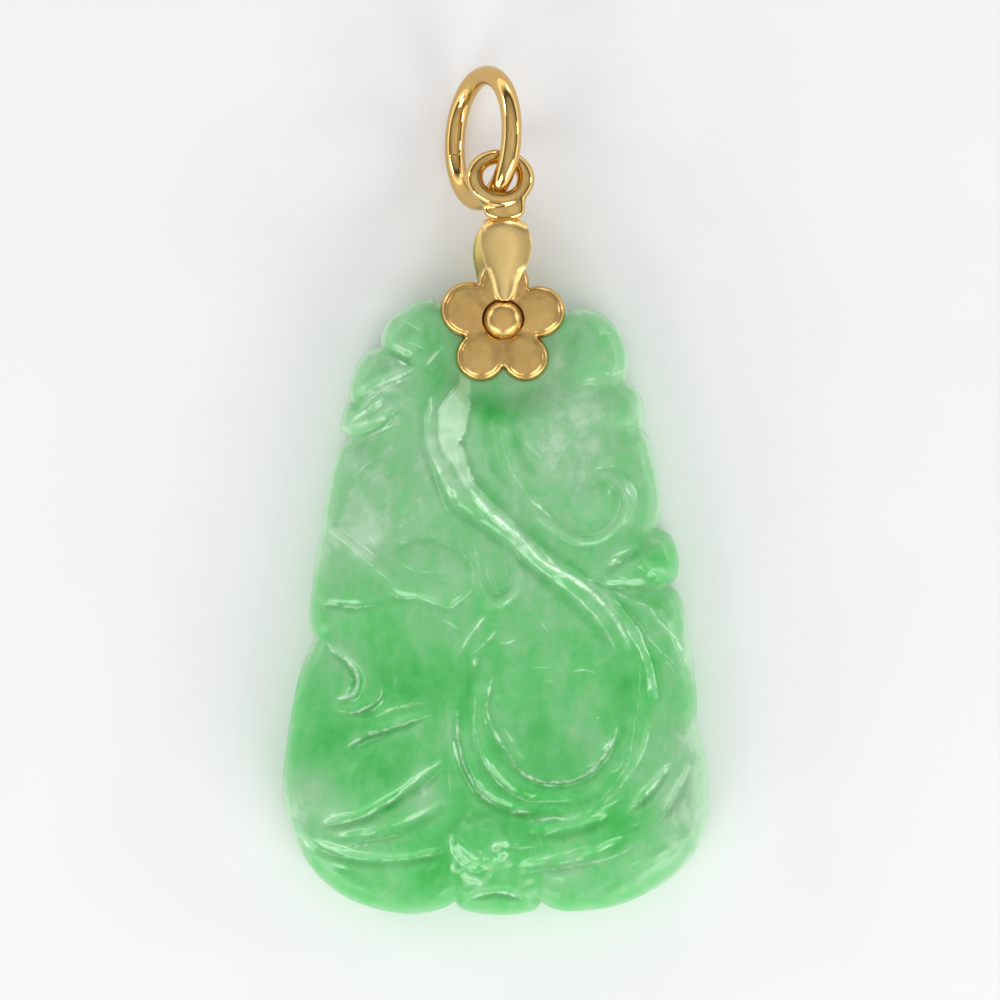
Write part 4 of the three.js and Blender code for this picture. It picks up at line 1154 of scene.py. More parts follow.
@dataclass
class CarvedJade:
    """The stone: a crowned, carved face, a rounded edge and a plain back that is cut away behind the mount."""

    rim: float = 2.9
    crown: float = 1.45
    crown_reach: float = 5.5
    edge_radius: float = 0.95
    edge_fullness: float = 2.6
    back_radius: float = 0.5
    back_border: float = 0.85
    back_coarseness: int = 4
    seat: float = 3.5
    seat_radius: float = 3.4
    seat_fade: float = 2.2
    petal_clearance: float = 1.3
    carving_fade: float = 0.7
    polish_loss: float = 0.54
    wear: tuple = ((0.03, 1.5, 1), (0.016, 0.6, 2))
    streak: float = 0.012
    tone_at_foot: float = 0.36
    paler_above: float = 0.33
    # painted glow of light through the edge: how much paler the rim is, and how far in
    rim_glow: Point = (0.3, 0.25)
    rim_haze: float = 0.9
    relief_range: float = 0.12
    relief_rounds: int = 14
    back_start: float = 6.4
    back_full: float = 7.2
    back_depth: float = 0.66
    columns: int = 236
    rows: int = 332
    crowding: float = 0.3
    pull: float = 0.9
    relaxing: int = 1100
    relaxed_rows: int = 100
    corner_easing: int = 40
    shrinkage: float = 0.999
    wall_steps: int = 4
    rounding_steps: int = 5
    corners: tuple = ((-9.5, -18.4), (9.4, -18.2), (6, 8.4), (-5.4, 9.2))

    def shares(self, cells: int) -> Array:
        """Steps from 0 to 1 that lie closer together at both ends: s - crowding sin(2 pi s) / 2 pi."""
        s = np.linspace(0.0, 1.0, cells + 1)
        return s - self.crowding * np.sin(2.0 * np.pi * s) / (2.0 * np.pi)

    def grid(self, outline: Outline) -> Array:
        """Points all over the face, blended from the four sides of the outline.

        Args:
            outline: the edge of the stone.

        Returns:
            X and Y, rows by columns.
        """
        lower_left, lower_right, upper_right, upper_left = self.corners
        u, v = self.shares(self.columns), self.shares(self.rows)
        bottom = outline.side(lower_left, lower_right, u)
        right = outline.side(lower_right, upper_right, v)
        top = outline.side(upper_right, upper_left, u)[::-1]
        left = outline.side(upper_left, lower_left, v)[::-1]
        grid = self.blend(bottom, right, top, left, u, v)
        self.relax(grid[-self.relaxed_rows :])
        return grid

    @staticmethod
    def blend(bottom: Array, right: Array, top: Array, left: Array, u: Array, v: Array) -> Array:
        """A grid between four sides: the blend of left and right plus that of bottom and top, less the corners'.

        Args:
            bottom: points along the low side, left to right.
            right: points up the right side.
            top: points along the high side, left to right.
            left: points up the left side.
            u: the share of each column.
            v: the share of each row.

        Returns:
            X and Y, rows by columns.
        """
        u, v = u[None, :, None], v[:, None, None]
        sides = (1 - u) * left[:, None] + u * right[:, None] + (1 - v) * bottom[None] + v * top[None]
        low = (1 - u) * bottom[0] + u * bottom[-1]
        high = (1 - u) * top[0] + u * top[-1]
        return sides - (1 - v) * low - v * high

    def relax(self, grid: Array) -> None:
        """Moves the inner points of a grid, in place, over a set number of steps, to unfold the cells at the notches.

        Each step solves a x_uu - 2 b x_uv + c x_vv = 0 for the point between its eight neighbours, where a is x_v
        squared, b is x_u times x_v, and c is x_u squared.

        Args:
            grid: X and Y, rows by columns.
        """
        for _ in range(self.relaxing):
            east, west, north, south = grid[1:-1, 2:], grid[1:-1, :-2], grid[2:, 1:-1], grid[:-2, 1:-1]
            across, along = (east - west) / 2.0, (north - south) / 2.0
            a, c = ((way**2).sum(-1, keepdims=True) for way in (along, across))
            b = (across * along).sum(-1, keepdims=True)
            twist = (grid[2:, 2:] - grid[2:, :-2] - grid[:-2, 2:] + grid[:-2, :-2]) / 4.0
            middle = (a * (east + west) + c * (north + south) - 2.0 * b * twist) / (2.0 * (a + c))
            grid[1:-1, 1:-1] += self.pull * (middle - grid[1:-1, 1:-1])

    def face(self, places: Array, outline: Outline) -> tuple[Carving, Array]:
        """The carved face, and how far inside the edge each of its points lies.

        The crown is a quarter sine over its reach. Polishing has taken a part of the broad forms' height. The carving
        fades out at the edge and under the flower's petals, and the edge is rounded by a full quarter curve,
        1 - (1 - e^n)^(1/n) with e from 0 at its start to 1 at the rim.

        Args:
            places: X and Y, one row each.
            outline: the edge of the stone.

        Returns:
            The face and the distances.
        """
        inside, _, _ = nearest(outline.closed, places)
        crown = self.crown * np.sin(np.pi / 2.0 * np.minimum(1.0, inside / self.crown_reach))
        face = Carving.blank(places)
        for form in BROAD_FORMS:
            form.apply(face)
        face.height *= self.polish_loss
        for stroke in FINE_STROKES:
            stroke.apply(face)
        worn = sum(amount * unevenness(places, size, seed) for amount, size, seed in self.wear)
        streaks = self.streak * unevenness(places @ np.array([[0.9, -0.5], [0.45, 0.9]]) * (0.4, 1.0), 0.3, 3)
        flower = Flower()
        from_seat = np.hypot(*(places - flower.centre).T) - self.seat_radius
        plain = self.seat + (self.rim + crown - self.seat) * smoothstep(0.0, self.seat_fade, from_seat)
        from_petals = np.min([np.hypot(*(places - middle).T) - radius for middle, radius in flower.circles()], axis=0)
        open_face = smoothstep(0.0, self.carving_fade, inside) * smoothstep(-0.05, self.petal_clearance, from_petals)
        level = plain + (face.height + worn + streaks) * open_face
        edge = np.clip(1.0 - inside / self.edge_radius, 0.0, 1.0) ** self.edge_fullness
        face.height = level - self.edge_radius * (1.0 - (1.0 - edge) ** (1.0 / self.edge_fullness))
        # no painted glints or frost at the very edge or under the petals
        clear = smoothstep(0.05, 0.4, inside) * smoothstep(-0.1, 0.1, from_petals)
        face.frost *= clear
        face.shine *= clear
        return face, inside

    def back(self, places: Array) -> Array:
        """Height of the back: level, then rising by its depth behind the mount."""
        return self.back_depth * smoothstep(self.back_start, self.back_full, places[..., 1])

    def tone(self, places: Array, inside: Array) -> Array:
        """How pale the stone is: deeper towards its foot, with soft patches and a pale rim, a painted glow of light
        passing through the edge.

        Args:
            places: X and Y, one row each.
            inside: the distance of each place from the edge.

        Returns:
            A value from 0, vivid green, to 1, white, for each place.
        """
        x, y = places.T
        value = self.tone_at_foot + self.paler_above * smoothstep(-9.5, 0.5, y)
        for patch_x, patch_y, radius, amount in TONE_PATCHES:
            value += amount * np.exp(-((x - patch_x) ** 2 + (y - patch_y) ** 2) / radius**2)
        # painted glow of light through the rim
        amount, reach = self.rim_glow
        return np.clip(value + amount * np.exp(-((inside / reach) ** 2)), 0.0, 1.0)

    def relief(self, height: Array) -> Array:
        """How far the face stands over its own average nearby.

        Args:
            height: the heights, rows by columns.

        Returns:
            One value from 0, deep in a groove, to 1, on a ridge, for each point.
        """
        soft = height
        for _ in range(self.relief_rounds):
            padded = np.pad(soft, 1, mode="edge")
            soft = (padded[:-2, 1:-1] + padded[2:, 1:-1] + padded[1:-1, :-2] + padded[1:-1, 2:]) / 4.0
        return np.clip(0.5 + (height - soft) / self.relief_range, 0.0, 1.0).ravel()

    def build(self, drawing: Drawing, finish: JadeFinish) -> bpy.types.Object:
        """Builds the stone as one closed surface.

        Args:
            drawing: where it goes.
            finish: what it is made of.

        Returns:
            The piece.
        """
        outline = Outline(self.shrinkage)
        grid = self.grid(outline)
        places = grid.reshape(-1, 2)
        carving, inside = self.face(places, outline)
        height = carving.height
        surface = Surface()
        face = surface.add(np.dstack([grid, height.reshape(grid.shape[:2])]))
        surface.quads(face)
        self.close_sides(surface, border(face), places, height)
        mesh = surface.mesh("carved_jade", drawing)
        spare = surface.count - len(places)
        others = np.vstack(surface.points)[len(places) :, :2]
        notes = {
            "tone": (self.tone(places, inside), self.tone(others, np.ones(spare))),
            "relief": (self.relief(height.reshape(grid.shape[:2])), np.full(spare, 0.5)),
            "frost": (carving.frost, np.zeros(spare)),
            "rim": (np.exp(-((inside / self.rim_haze) ** 2)), np.ones(spare)),
        }
        for layer in range(LINE_LAYERS):
            notes[f"line_{layer}"] = (carving.line[layer], np.full(spare, NO_LINE))
            notes[f"shine_{layer}"] = (carving.shine[layer], np.zeros(spare))
        for name, values in notes.items():
            paint(mesh, name, *values)
        return piece(mesh, "jade_plaque", finish.material())

    def close_sides(self, surface: Surface, rim: Array, places: Array, height: Array) -> None:
        """Adds the upright wall, the quarter round at its foot and the back.

        Args:
            surface: the face so far.
            rim: the numbers of the points round the face.
            places: X and Y of the face's points, one row each.
            height: their heights.
        """
        edge = places[rim]
        along = np.roll(edge, -2, axis=0) - np.roll(edge, 2, axis=0)
        inward = unit(np.stack([-along[:, 1], along[:, 0]], axis=1))
        for _ in range(self.corner_easing):
            inward = (np.roll(inward, 1, axis=0) + 2.0 * inward + np.roll(inward, -1, axis=0)) / 4.0
        foot, top = self.back(edge), height[rim]
        rings = [rim]
        for k in range(1, self.wall_steps + 1):
            z = top + (foot + self.back_radius - top) * (k / self.wall_steps)
            rings.append(surface.add(np.column_stack([edge, z])))
        for k in range(1, self.rounding_steps + 1):
            angle = np.pi / 2.0 * k / self.rounding_steps
            inset = self.back_radius * (1.0 - np.cos(angle))
            z = foot + self.back_radius * (1.0 - np.sin(angle))
            rings.append(surface.add(np.column_stack([edge + inset * inward, z])))
        surface.quads(np.stack(rings)[::-1], closed=True)
        self.close_back(surface, (edge + self.back_border * inward)[:: self.back_coarseness], rings[-1])

    def close_back(self, surface: Surface, inner: Array, last: Array) -> None:
        """Closes the back with a coarser grid inside the last ring of the edge.

        Args:
            surface: the surface so far.
            inner: X and Y round the grid, from its lower left corner, counter-clockwise.
            last: the numbers of the last ring.
        """
        ratio = self.back_coarseness
        columns, rows = self.columns // ratio, self.rows // ratio
        corners = np.cumsum([0, columns, rows, columns, rows])
        closed = np.vstack([inner, inner[:1]])
        bottom, right, top, left = (closed[a : b + 1] for a, b in zip(corners, corners[1:]))
        grid = self.blend(bottom, right, top[::-1], left[::-1], self.shares(columns), self.shares(rows))
        self.relax(grid)
        back = surface.add(np.dstack([grid, self.back(grid)]))
        surface.quads(back[:, ::-1])
        rim = border(back)
        after = np.roll(rim, -1)
        outer = [last[k::ratio] for k in range(ratio)] + [np.roll(last[::ratio], -1)]
        for k in range(ratio):
            if k == ratio // 2:
                surface.triangles(np.stack([outer[k], rim, after], axis=1))
            surface.triangles(np.stack([outer[k], rim if k < ratio // 2 else after, outer[k + 1]], axis=1))


@dataclass
class Flower:
    """The flower that hides the fastening: five uneven petals with rounded sides, and a well for the bead.

    A petal is given by the direction of its middle in degrees, the distance of its middle, and its radius.
    """

    centre: Point = (0.16, 8.97)
    base: float = 3.55
    petals: tuple = ((12.8, 1.86, 1.3), (90, 1.8, 1.3), (163.3, 1.82, 1.4), (238.4, 2.12, 1.28), (300.3, 2.18, 1.2))
    brim: float = 0.1
    brow: float = 0.75
    shoulder: float = 0.47
    dome: float = 0.43
    fullness: float = 1.24
    side: float = 0.3
    softness: float = 0.04
    beaten: tuple = ((0.05, 0.8, 21), (0.014, 0.3, 22))
    # painted shade: how dark and how wide the creases between petals are painted
    crease_shade: Point = (0.24, 0.16)
    # painted shade: amount, distance inside the edge and width of a dark line along the rim
    rim_shade_line: tuple[float, float, float] = (0.16, 0.2, 0.06)
    well_radius: float = 0.97
    well_edge: float = 0.09
    well_height: float = 0.64
    # painted shade at the floor of the bead's well
    well_shade: float = 0.8
    across_petal: int = 84
    rings: int = 64

    def reach(self, angle: Array) -> Array:
        """How far each petal reaches in each direction: its circle's far side as seen from the middle.

        Args:
            angle: the directions.

        Returns:
            Petals by directions, 0 where a petal doesn't lie that way.
        """
        degrees, offset, radius = np.array(self.petals).T[:, :, None]
        off = angle - np.radians(degrees)
        across = offset * np.sin(off)
        far = offset * np.cos(off) + np.sqrt(np.maximum(0.0, radius**2 - across**2))
        return np.where((np.cos(off) > 0.0) & (np.abs(across) <= radius), far, 0.0)

    def directions(self) -> Array:
        """Directions round the flower.

        Returns:
            Angles that are evenly spread between the notches, with one on each notch.
        """
        fine = np.linspace(0.0, 2.0 * np.pi, 40001)
        leader = self.reach(fine).argmax(0)
        notches = fine[np.flatnonzero(np.diff(leader))]
        ends = np.append(notches[1:], notches[0] + 2.0 * np.pi)
        spans = [np.linspace(a, b, self.across_petal, endpoint=False) for a, b in zip(notches, ends)]
        return np.concatenate(spans)

    def top(self, x: Array, y: Array, inside: Array) -> Array:
        """Height of the petals over the base.

        Each petal is a wide, low dome, shoulder + dome (1 - (d / (fullness radius))^2), and the highest dome counts,
        so that petals meet in shallow creases. The edge is a quarter round, sqrt(1 - (1 - inside / side)^2), from the
        brim up to the brow. Both joins are eased by a soft maximum or minimum, softness log(sum exp(value / softness)).

        Args:
            x: places across, from the flower's middle.
            y: places along.
            inside: distance of each place from the flower's outline.

        Returns:
            The heights.
        """
        domes = []
        for degrees, offset, radius in self.petals:
            angle = np.radians(degrees)
            d2 = (x - offset * np.cos(angle)) ** 2 + (y - offset * np.sin(angle)) ** 2
            domes.append(self.shoulder + self.dome * (1.0 - d2 / (self.fullness * radius) ** 2))
        dome = self.softness * np.log(np.exp(np.array(domes) / self.softness).sum(0))
        places = np.stack([x.ravel(), y.ravel()], axis=1)
        beaten = sum(amount * unevenness(places, size, seed) for amount, size, seed in self.beaten)
        dome = dome + beaten.reshape(x.shape) * smoothstep(0.0, 0.4, inside)
        rounding = 1.0 - (1.0 - np.clip(inside / self.side, 0.0, 1.0)) ** 2
        side = self.brim + (self.brow - self.brim) * np.sqrt(rounding) + 1.5 * np.clip(inside - self.side, 0.0, None)
        return -self.softness * np.logaddexp(-dome / self.softness, -side / self.softness)

    def flower_shade(self, x: Array, y: Array, inside: Array) -> Array:
        """How much painted shade the flower gets in the creases between its petals and along its rim here and there;
        the shade of its well is added where the flower is built.

        Args:
            x: places across, from the flower's middle.
            y: places along.
            inside: distance of each place from the flower's outline.

        Returns:
            A share from 0 to 1 for each place.
        """
        heights = np.sort([np.hypot(x - o * np.cos(a), y - o * np.sin(a)) / r for a, o, r in self.middles()], axis=0)
        amount, width = self.crease_shade
        # painted shade where two petals meet
        crease_shade = amount * np.exp(-(((heights[1] - heights[0]) / width) ** 2)) * smoothstep(0.6, 1.0, heights[0])
        outer = np.clip(0.55 + unevenness(np.stack([x.ravel(), y.ravel()], axis=1), 0.5, 24).reshape(x.shape), 0.0, 1.0)
        amount, place, width = self.rim_shade_line
        # painted shade along the rim, here and there
        rim = amount * outer * np.exp(-(((inside - place) / width) ** 2))
        return np.maximum(crease_shade, rim)

    def build(self, drawing: Drawing, finish: GoldFinish) -> bpy.types.Object:
        """Builds the flower on a polar grid between its well and its edge, with a flat underside.

        Args:
            drawing: where it goes.
            finish: what it is made of.

        Returns:
            The piece.
        """
        angle = self.directions()
        edge = self.reach(angle).max(0)
        share = 1.0 - (1.0 - np.linspace(0.0, 1.0, self.rings)[:, None]) ** 1.25
        radius = self.well_radius + share * (edge - self.well_radius)
        x, y = radius * np.cos(angle), radius * np.sin(angle)
        outline = np.stack([edge * np.cos(angle), edge * np.sin(angle)], axis=1)
        closed = np.vstack([outline, outline[:1]])
        inside = nearest(closed, np.stack([x.ravel(), y.ravel()], axis=1))[0].reshape(x.shape)
        lip = smoothstep(self.well_radius, self.well_radius + self.well_edge, radius)
        z = self.well_height + (self.top(x, y, inside) - self.well_height) * lip
        surface = Surface()
        centre_x, centre_y = self.centre
        rings = np.dstack([x + centre_x, y + centre_y, z + self.base])
        foot = np.dstack([x[-1:] + centre_x, y[-1:] + centre_y, np.full_like(x[-1:], self.base)])
        index = surface.add(np.concatenate([rings, foot]))
        surface.quads(index[::-1], closed=True)
        hub = surface.add(np.array([[centre_x, centre_y, self.base + self.well_height]]))
        under = surface.add(np.array([[centre_x, centre_y, self.base]]))
        surface.fan(int(hub[0]), index[0])
        surface.fan(int(under[0]), index[-1][::-1])
        mesh = surface.mesh("petals", drawing)
        mesh.set_sharp_from_angle(angle=np.radians(42.0))
        # painted shade in the bead's well, full at its floor and gone at its lip
        well = self.well_shade - self.well_shade * smoothstep(self.well_radius, self.well_radius + 0.1, radius)
        crevice = np.maximum(self.flower_shade(x, y, inside), well)
        paint(mesh, "crevice", crevice.ravel(), np.zeros(x.shape[1]), [self.well_shade, 0.0])
        return piece(mesh, "flower", finish.material())

    def circles(self) -> list[tuple[Array, float]]:
        """Middle, in the drawing, and radius of each petal."""
        return [
            (np.array(self.centre) + offset * np.array([np.cos(angle), np.sin(angle)]), radius)
            for angle, offset, radius in self.middles()
        ]

    def middles(self) -> list[tuple[float, float, float]]:
        """Direction in radians, distance and radius of each petal's middle."""
        return [(float(np.radians(degrees)), offset, radius) for degrees, offset, radius in self.petals]


@dataclass
class CentreBead:
    """The bead: a short foot under a flattened dome with a full shoulder."""

    centre: Point = (0.16, 8.97)
    foot_height: float = 4.24
    radius: float = 0.94
    height: float = 0.85
    fullness: float = 2.7
    around: int = 120
    steps: int = 40

    def build(self, drawing: Drawing, finish: GoldFinish) -> bpy.types.Object:
        """Builds the bead by turning (r / radius)^n + (z / height)^n = 1 round its axis over a flat foot.

        Args:
            drawing: where it goes.
            finish: what it is made of.

        Returns:
            The piece.
        """
        a = np.linspace(0.0, np.pi / 2.0, self.steps)[:, None]
        turn = full_turn(self.around)
        r = self.radius * np.cos(a) ** (2.0 / self.fullness)
        z = self.foot_height + self.height * np.sin(a) ** (2.0 / self.fullness)
        x = self.centre[0] + r * np.cos(turn)
        y = self.centre[1] + r * np.sin(turn)
        surface = Surface()
        index = surface.add(np.dstack([x, y, np.broadcast_to(z, x.shape)])[:-1])
        surface.quads(index, closed=True)
        tips = surface.add(np.array([[*self.centre, self.foot_height + self.height], [*self.centre, self.foot_height]]))
        surface.fan(int(tips[0]), index[-1])
        surface.fan(int(tips[1]), index[0][::-1])
        mesh = surface.mesh("bead", drawing)
        mesh.set_sharp_from_angle(angle=np.radians(60.0))
        return piece(mesh, "centre_bead", finish.material())


@dataclass
class BailStrap:
    """The strap: one strip from its tongue over the fold and down behind the stone.

    Its line gives X, Y, Z and half the width of its inner face, from the tip of the tongue to the rear plate.
    """

    thickness: float = 0.42
    edge: float = 0.12
    arm_bulge: float = 0.6
    narrowest: float = 0.12
    steps: int = 14
    edge_points: int = 9
    line: tuple = (
        (0.23, 9.93, 4.55, 0.34), (0.235, 10.05, 4.56, 0.48), (0.24, 10.35, 4.58, 0.6), (0.25, 10.85, 4.62, 0.7),
        (0.28, 11.3, 4.67, 0.86), (0.31, 11.7, 4.7, 1.06), (0.32, 12.2, 4.72, 1.19), (0.29, 12.8, 4.72, 1.28),
        (0.24, 13.45, 4.66, 1.17), (0.19, 13.78, 4.3, 1.02),
        (0.06, 13.68, 3.75, 0.94), (-0.05, 13.1, 2.95, 1.18), (-0.08, 12.3, 2.1, 1.28), (-0.02, 11.4, 1.25, 1.2),
        (0.1, 10.5, 0.66, 1.15), (0.15, 9.8, 0.56, 1.33), (0.15, 8.9, 0.56, 1.6), (0.15, 8.1, 0.56, 1.38),
        (0.15, 7.55, 0.56, 0.85), (0.15, 7.3, 0.56, 0.1),
    )

    def section(self) -> tuple[Array, Array, Array]:
        """The strip's outline: a flat inner face, half a circle at each edge, and a crowned outer face.

        Returns:
            For each point, its share of the half width, what is added to that, and its height over the inner face.
        """
        arc = np.linspace(-np.pi / 2.0, np.pi / 2.0, self.edge_points)
        flat = np.linspace(-1.0, 1.0, 18)[1:-1]
        crown = np.linspace(1.0, -1.0, 30)[1:-1]
        half = self.edge / 2.0
        share = np.concatenate([flat, 0 * arc + 1.0, crown, 0 * arc - 1.0])
        run_out = np.concatenate([0 * flat, half * np.cos(arc), 0 * crown, -half * np.cos(arc)])
        lift = np.concatenate([0 * flat, half + half * np.sin(arc), 0 * crown + self.edge, half - half * np.sin(arc)])
        top = np.concatenate([0 * flat, 0 * arc, 1.0 - crown**2, 0 * arc])
        return share, run_out, lift + (self.thickness - self.edge) * top

    def build(self, drawing: Drawing, finish: GoldFinish) -> bpy.types.Object:
        """Carries the section along the strap's line, at right angles to it, with a rounder inside on the arm.

        Args:
            drawing: where it goes.
            finish: what it is made of.

        Returns:
            The piece.
        """
        line = spline(self.line, self.steps)
        path, half_width = line[:, :3], np.maximum(line[:, 3], self.narrowest)
        tangent = unit(np.gradient(path, axis=0))
        outward = unit(np.stack([0 * tangent[:, 0], -tangent[:, 2], tangent[:, 1]], axis=1))
        share, run_out, lift = self.section()
        rings = np.repeat(path[:, None, :], len(share), axis=1)
        rings[..., 0] += share * (half_width[:, None] - self.edge / 2.0) + run_out
        arm = smoothstep(0.7, 1.4, path[:, 2]) * smoothstep(4.5, 3.9, path[:, 2])
        hollow = np.where(np.abs(share) < 1.0, 1.0 - share**2, 0.0) * (lift <= 0.0)
        rise = lift[None, :] - self.arm_bulge * arm[:, None] * hollow[None, :]
        rings += outward[:, None, :] * rise[..., None]
        surface = Surface()
        index = surface.add(rings)
        surface.quads(index[::-1], closed=True)
        ends = surface.add(rings[[0, -1]].mean(axis=1))
        surface.fan(int(ends[0]), index[0])
        surface.fan(int(ends[1]), index[-1][::-1])
        mesh = surface.mesh("strap", drawing)
        matte = arm[:, None] * (hollow > 0.0)[None, :] * np.ones_like(rise)
        paint(mesh, "matte", matte.ravel(), [0.0, 0.0])
        return piece(mesh, "bail_strap", finish.material())


def round_wire(path: Array, radius: Array, sides: int) -> Surface:
    """A closed wire.

    Each ring lies across the path, spanned by the direction away from the path's middle and the plane's normal.

    Args:
        path: the middle of the wire, one row a step, closing on itself in one plane.
        radius: the wire's radius at each step.
        sides: how many points go round the wire.

    Returns:
        The surface, facing out.
    """
    tangent = unit(np.roll(path, -1, axis=0) - np.roll(path, 1, axis=0))
    normal = unit(np.cross(path[0] - path.mean(0), path[len(path) // 4] - path.mean(0)))
    outward = np.cross(tangent, normal)
    turn = full_turn(sides)
    ring = np.cos(turn)[None, :, None] * outward[:, None] + np.sin(turn)[None, :, None] * normal
    surface = Surface()
    index = surface.add(path[:, None] + radius[:, None, None] * ring)
    surface.quads(np.vstack([index, index[:1]])[::-1], closed=True)
    return surface


@dataclass
class Eyelet:
    """The eyelet over the fold: a wire ring soldered to a short collar, with a drop of solder at either side."""

    centre: tuple[float, float, float] = (0.0, 16.0, 4.6)
    radius: float = 1.3
    flattening: float = 0.86
    wire: float = 0.94
    thinner_top: float = 0.16
    tilt: float = 15.0
    towards: float = 60.0
    collar_centre: tuple[float, float, float] = (0.2, 14.46, 4.64)
    collar_half: tuple[float, float, float] = (1.08, 0.62, 0.35)
    squareness: float = 2.3
    drops: tuple = ((-0.7, 0.34, 0.0), (0.6, 0.34, 0.0))
    drop_half: tuple[float, float, float] = (0.5, 0.5, 0.35)
    steps: int = 160
    sides: int = 48
    voxel: float = 0.055
    softening: int = 60

    def facing(self) -> Array:
        """The direction that the ring faces."""
        tilt, towards = np.radians([self.tilt, self.towards])
        return np.array([np.sin(tilt) * np.cos(towards), np.sin(tilt) * np.sin(towards), np.cos(tilt)])

    @staticmethod
    def block(centre: Array, half: tuple, squareness: float) -> Surface:
        """A ball pressed towards a block: points at length one in the norm of a power, scaled by the half sizes.

        Args:
            centre: its middle.
            half: half its size along X, Y and Z.
            squareness: the power, which is 2 for a ball.

        Returns:
            The closed surface.
        """
        turn = full_turn(64)
        rise = np.linspace(-np.pi / 2.0, np.pi / 2.0, 34)[1:-1, None]
        ball = np.dstack([np.cos(rise) * np.cos(turn), np.cos(rise) * np.sin(turn), np.sin(rise) + 0 * turn])
        size = (np.abs(ball) ** squareness).sum(-1, keepdims=True) ** (1.0 / squareness)
        surface = Surface()
        index = surface.add(ball / size * half + centre)
        surface.quads(index, closed=True)
        poles = surface.add(np.array([(0, 0, -half[2]), (0, 0, half[2])]) + centre)
        surface.fan(int(poles[0]), index[0][::-1])
        surface.fan(int(poles[1]), index[-1])
        return surface

    def build(self, drawing: Drawing, finish: GoldFinish) -> bpy.types.Object:
        """Joins ring, collar and solder into one skin, softens it, and places it.

        Args:
            drawing: where it goes.
            finish: what it is made of.

        Returns:
            The piece.
        """
        facing = self.facing()
        first = unit(np.cross(facing, (0.0, 1.0, 0.0)))
        second = np.cross(facing, first)
        turn = full_turn(self.steps)[:, None]
        path = self.centre + self.radius * (np.cos(turn) * first + self.flattening * np.sin(turn) * second)
        radius = self.wire / 2.0 * (1.0 - self.thinner_top * np.abs(np.sin(turn[:, 0])))
        collar = np.array(self.collar_centre)
        parts = [round_wire(path, radius, self.sides), self.block(collar, self.collar_half, self.squareness)]
        parts += [self.block(collar + drop, self.drop_half, 2.0) for drop in self.drops]
        joined = Surface()
        for part in parts:
            joined.faces += [face + joined.count for face in part.faces]
            joined.points += part.points
            joined.count += part.count
        rough = add_object("eyelet_blank", joined.mesh("eyelet_blank"))
        skin = rough.modifiers.new("skin", "REMESH")
        skin.mode = "VOXEL"
        skin.voxel_size = self.voxel
        soften = rough.modifiers.new("soften", "SMOOTH")
        soften.factor = 0.5
        soften.iterations = self.softening
        graph = bpy.context.evaluated_depsgraph_get()
        mesh = bpy.data.meshes.new_from_object(rough.evaluated_get(graph))
        bpy.data.objects.remove(rough)
        points = np.empty(len(mesh.vertices) * 3, np.float32)
        mesh.vertices.foreach_get("co", points)
        mesh.vertices.foreach_set("co", drawing.place(points.reshape(-1, 3)).astype(np.float32).ravel())
        mesh.name = "eyelet_ring"
        mesh.shade_smooth()
        mesh.update()
        return piece(mesh, "eyelet", finish.material())


@dataclass
class JumpRing:
    """The jump ring: round wire bent to a slightly oval ring, with its closed joint at the back."""

    centre: tuple[float, float, float] = (-0.85, 18.1, 2.947)
    half_length: float = 3.142
    half_width: float = 2.8
    wire: float = 1.0
    tilt: float = 59.4
    lean: float = -3.1
    joint_degrees: float = 196.0
    joint_depth: float = 0.03
    joint_width: float = 0.035
    crowding: float = 0.75
    steps: int = 260
    sides: int = 56

    def build(self, drawing: Drawing, finish: GoldFinish) -> bpy.types.Object:
        """Draws the oval upright, turns it about its long axis, leans it and moves it to its place.

        Its steps crowd at the joint, where the wire is thinner by its depth times exp(-(distance / width)^2).

        Args:
            drawing: where it goes.
            finish: what it is made of.

        Returns:
            The piece.
        """
        joint = np.radians(self.joint_degrees)
        even = full_turn(self.steps)
        a = even + joint - self.crowding * np.sin(even) * np.exp(-((np.cos(even) - 1.0) ** 2) / 0.02)
        gap = np.abs((a - joint + np.pi) % (2.0 * np.pi) - np.pi) * self.half_length
        radius = self.wire / 2.0 * (1.0 - self.joint_depth * np.exp(-((gap / self.joint_width) ** 2)))
        tilt, lean = np.radians([-self.tilt, self.lean])
        x, y = self.half_width * np.cos(a), self.half_length * np.sin(a)
        turned = np.stack([x * np.cos(tilt), y, -x * np.sin(tilt)], axis=1)
        spin = np.array([[np.cos(lean), np.sin(lean), 0.0], [-np.sin(lean), np.cos(lean), 0.0], [0.0, 0.0, 1.0]])
        path = turned @ spin + self.centre
        surface = round_wire(path, radius, self.sides)
        return piece(surface.mesh("ring_wire", drawing), "jump_ring", finish.material())


